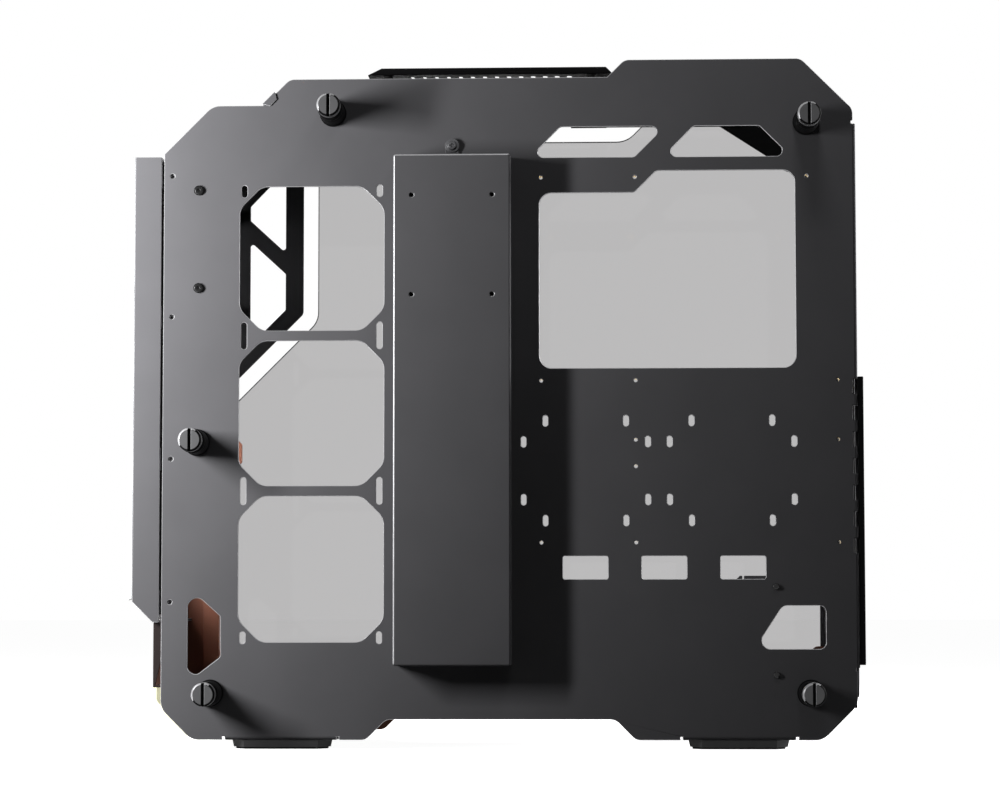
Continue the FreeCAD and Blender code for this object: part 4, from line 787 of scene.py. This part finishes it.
class CASE_OT_knobs(bpy.types.Operator):
    """Dress the knobs, the posts that they screw on and the tie rods"""

    bl_idname = "case.knobs"
    bl_label = "Knobs"

    def execute(self, context):
        edges = context.scene.case_edges
        for node in ("cable_side_knobs", "glass_side_knobs"):
            paint_knob_highlight_and_shade(dress_sheet(node, "knob", edges.turned_width, "knob_bevel"))
        for node in ("cable_side_posts", "glass_side_posts", "tie_rods"):
            dress_solid(node, "black_metal", edges.turned_width)
        return {"FINISHED"}


class CASE_OT_screws(bpy.types.Operator):
    """Dress the screws and the standoffs"""

    bl_idname = "case.screws"
    bl_label = "Screws"

    def execute(self, context):
        width = context.scene.case_edges.turned_width
        for node in ("psu_guide_screws", "slot_cover_screws"):
            dress_solid(node, "black_metal", width, coat="black_screw")
        dress_solid("cable_cover_screw", "screw", width)
        dress_solid("tie_rod_screws", "black_metal", width, coat="black_screw")
        dress_solid("motherboard_standoffs", "brass", width)
        return {"FINISHED"}


class CASE_OT_ports(bpy.types.Operator):
    """Dress the front ports, the buttons and their board"""

    bl_idname = "case.ports"
    bl_label = "Ports"

    def execute(self, context):
        for node in ("usb_port_upper", "usb_port_lower", "usb_small_port"):
            paint_node(node, "socket")
        paint_node("audio_jack", "plastic")
        paint_node("port_board", "board")
        paint_node("port_board_pillars", "brass")
        for node in ("power_button", "reset_button"):
            dress_solid(node, "knob", context.scene.case_edges.moulded_width)
        for node in ("power_switch", "reset_switch"):
            paint_node(node, "plastic")
        return {"FINISHED"}


class CASE_OT_feet(bpy.types.Operator):
    """Dress the feet and their rubber pads"""

    bl_idname = "case.feet"
    bl_label = "Feet"

    def execute(self, context):
        edges = context.scene.case_edges
        for node in sorted(frame["nodes"]):
            if node.endswith("_foot_pad"):
                dress_solid(node, "rubber", edges.moulded_width)
            elif node.endswith("_foot"):
                dress_solid(node, "plastic", edges.moulded_width)
        return {"FINISHED"}


# Stage

def add_lamp(name, place, aim, size, power):
    """A soft rectangular lamp that faces a point."""
    data = bpy.data.lights.new(name, "AREA")
    data.shape = "RECTANGLE"
    data.size, data.size_y = size
    data.energy = power
    lamp = bpy.data.objects.new(name, data)
    lamp.location = place
    facing = Vector(aim) - Vector(place)
    lamp.rotation_euler = facing.to_track_quat("-Z", "Z").to_euler()
    lamp.visible_camera = False
    lamp.visible_transmission = False
    bpy.context.scene.collection.objects.link(lamp)


def seen_directly(tree):
    """1 for rays from the camera and for those that gloss or glass sends on, else 0."""
    rays = tree.nodes.new("ShaderNodeLightPath")
    either = tree.nodes.new("ShaderNodeMath")
    either.operation = "MAXIMUM"
    tree.links.new(rays.outputs["Is Camera Ray"], either.inputs[0])
    tree.links.new(rays.outputs["Is Glossy Ray"], either.inputs[1])
    any_of = tree.nodes.new("ShaderNodeMath")
    any_of.operation = "MAXIMUM"
    tree.links.new(either.outputs["Value"], any_of.inputs[0])
    tree.links.new(rays.outputs["Is Transmission Ray"], any_of.inputs[1])
    return any_of.outputs["Value"]


def floor_material(studio):
    """A floor that shines white where it is seen and sends the case little light."""
    material = bpy.data.materials.new("white floor")
    material.use_nodes = True
    tree = material.node_tree
    tree.nodes.clear()
    output = tree.nodes.new("ShaderNodeOutputMaterial")
    matt = tree.nodes.new("ShaderNodeBsdfDiffuse")
    shade = tree.nodes.new("ShaderNodeMix")
    shade.data_type = "RGBA"
    shade.inputs["A"].default_value = [studio.floor_bounce] * 3 + [1]
    shade.inputs["B"].default_value = [studio.floor_tone] * 3 + [1]
    seen = seen_directly(tree)
    tree.links.new(seen, shade.inputs["Factor"])
    tree.links.new(shade.outputs["Result"], matt.inputs["Color"])
    white = tree.nodes.new("ShaderNodeEmission")
    white.inputs["Color"].default_value = (1, 1, 1, 1)
    own = tree.nodes.new("ShaderNodeMath")
    own.operation = "MULTIPLY"
    own.inputs[1].default_value = studio.floor_white
    both = tree.nodes.new("ShaderNodeAddShader")
    tree.links.new(seen, own.inputs[0])
    tree.links.new(own.outputs["Value"], white.inputs["Strength"])
    tree.links.new(matt.outputs["BSDF"], both.inputs[0])
    tree.links.new(white.outputs["Emission"], both.inputs[1])
    tree.links.new(both.outputs["Shader"], output.inputs["Surface"])
    return material


class CASE_OT_stage(bpy.types.Operator):
    """Set up the floor, the background, the lamps and the camera"""

    bl_idname = "case.stage"
    bl_label = "Stage"

    def execute(self, context):
        studio = context.scene.case_studio
        self.make_floor(studio)
        self.make_world(context, studio)
        self.make_lamps(studio)
        self.make_camera(context, studio)
        context.scene.view_settings.view_transform = "Standard"
        return {"FINISHED"}

    def make_floor(self, studio):
        bpy.ops.object.select_all(action="DESELECT")
        bpy.ops.mesh.primitive_plane_add(size=studio.floor_reach)
        floor = bpy.context.active_object
        floor.name = "floor"
        floor.data.materials.append(floor_material(studio))

    def make_world(self, context, studio):
        world = bpy.data.worlds.new("white background")
        world.use_nodes = True
        context.scene.world = world
        tree = world.node_tree
        background = tree.nodes["Background"]
        background.inputs["Color"].default_value = (1, 1, 1, 1)
        level = tree.nodes.new("ShaderNodeMapRange")
        level.inputs["To Min"].default_value = studio.ambient
        level.inputs["To Max"].default_value = 1.0
        tree.links.new(seen_directly(tree), level.inputs["Value"])
        tree.links.new(level.outputs["Result"], background.inputs["Strength"])

    def make_lamps(self, studio):
        add_lamp("front lamp", studio.key_place, studio.key_aim, studio.key_size, studio.key_power)
        add_lamp("top lamp", studio.top_place, studio.top_aim, studio.top_size, studio.top_power)
        for name, place, power in (
                ("glass side lamp", studio.side_place, studio.side_power),
                ("rear lamp", studio.rear_place, studio.rear_power)):
            add_lamp(name, place, studio.fill_aim, studio.fill_size, power)

    def make_camera(self, context, studio):
        data = bpy.data.cameras.new("camera")
        data.lens = studio.camera_lens
        data.sensor_width = studio.camera_sensor
        data.clip_end = studio.camera_reach
        camera = bpy.data.objects.new("camera", data)
        camera.location = studio.camera_place
        camera.rotation_euler = studio.camera_turn
        context.scene.collection.objects.link(camera)
        context.scene.camera = camera


# Panel and registration

class CASE_PT_panel(bpy.types.Panel):
    """Buttons that dress each part of the case, and their settings"""

    bl_idname = "CASE_PT_panel"
    bl_label = "PC Case"
    bl_space_type = "VIEW_3D"
    bl_region_type = "UI"
    bl_category = "PC Case"

    def draw(self, context):
        scene = context.scene
        for operator in OPERATORS:
            self.layout.operator(operator.bl_idname)
        for settings in (scene.case_edges, scene.case_colours, scene.case_studio):
            box = self.layout.box()
            for name in settings.__annotations__:
                box.prop(settings, name)


OPERATORS = (
    CASE_OT_tray, CASE_OT_front, CASE_OT_seal, CASE_OT_roof, CASE_OT_rear, CASE_OT_glass,
    CASE_OT_knobs, CASE_OT_screws, CASE_OT_ports, CASE_OT_feet, CASE_OT_stage,
)
CLASSES = (CaseEdges, CaseColours, CaseStudio, *OPERATORS, CASE_PT_panel)


def register():
    for item in CLASSES:
        bpy.utils.register_class(item)
    bpy.types.Scene.case_edges = PointerProperty(type=CaseEdges)
    bpy.types.Scene.case_colours = PointerProperty(type=CaseColours)
    bpy.types.Scene.case_studio = PointerProperty(type=CaseStudio)


def unregister():
    del bpy.types.Scene.case_studio
    del bpy.types.Scene.case_colours
    del bpy.types.Scene.case_edges
    for item in reversed(CLASSES):
        bpy.utils.unregister_class(item)


def main():
    register()
    bpy.ops.case.tray()
    bpy.ops.case.front()
    bpy.ops.case.seal()
    bpy.ops.case.roof()
    bpy.ops.case.rear()
    bpy.ops.case.glass()
    bpy.ops.case.knobs()
    bpy.ops.case.screws()
    bpy.ops.case.ports()
    bpy.ops.case.feet()
    bpy.ops.case.stage()


if __name__ == "__main__":
    main()
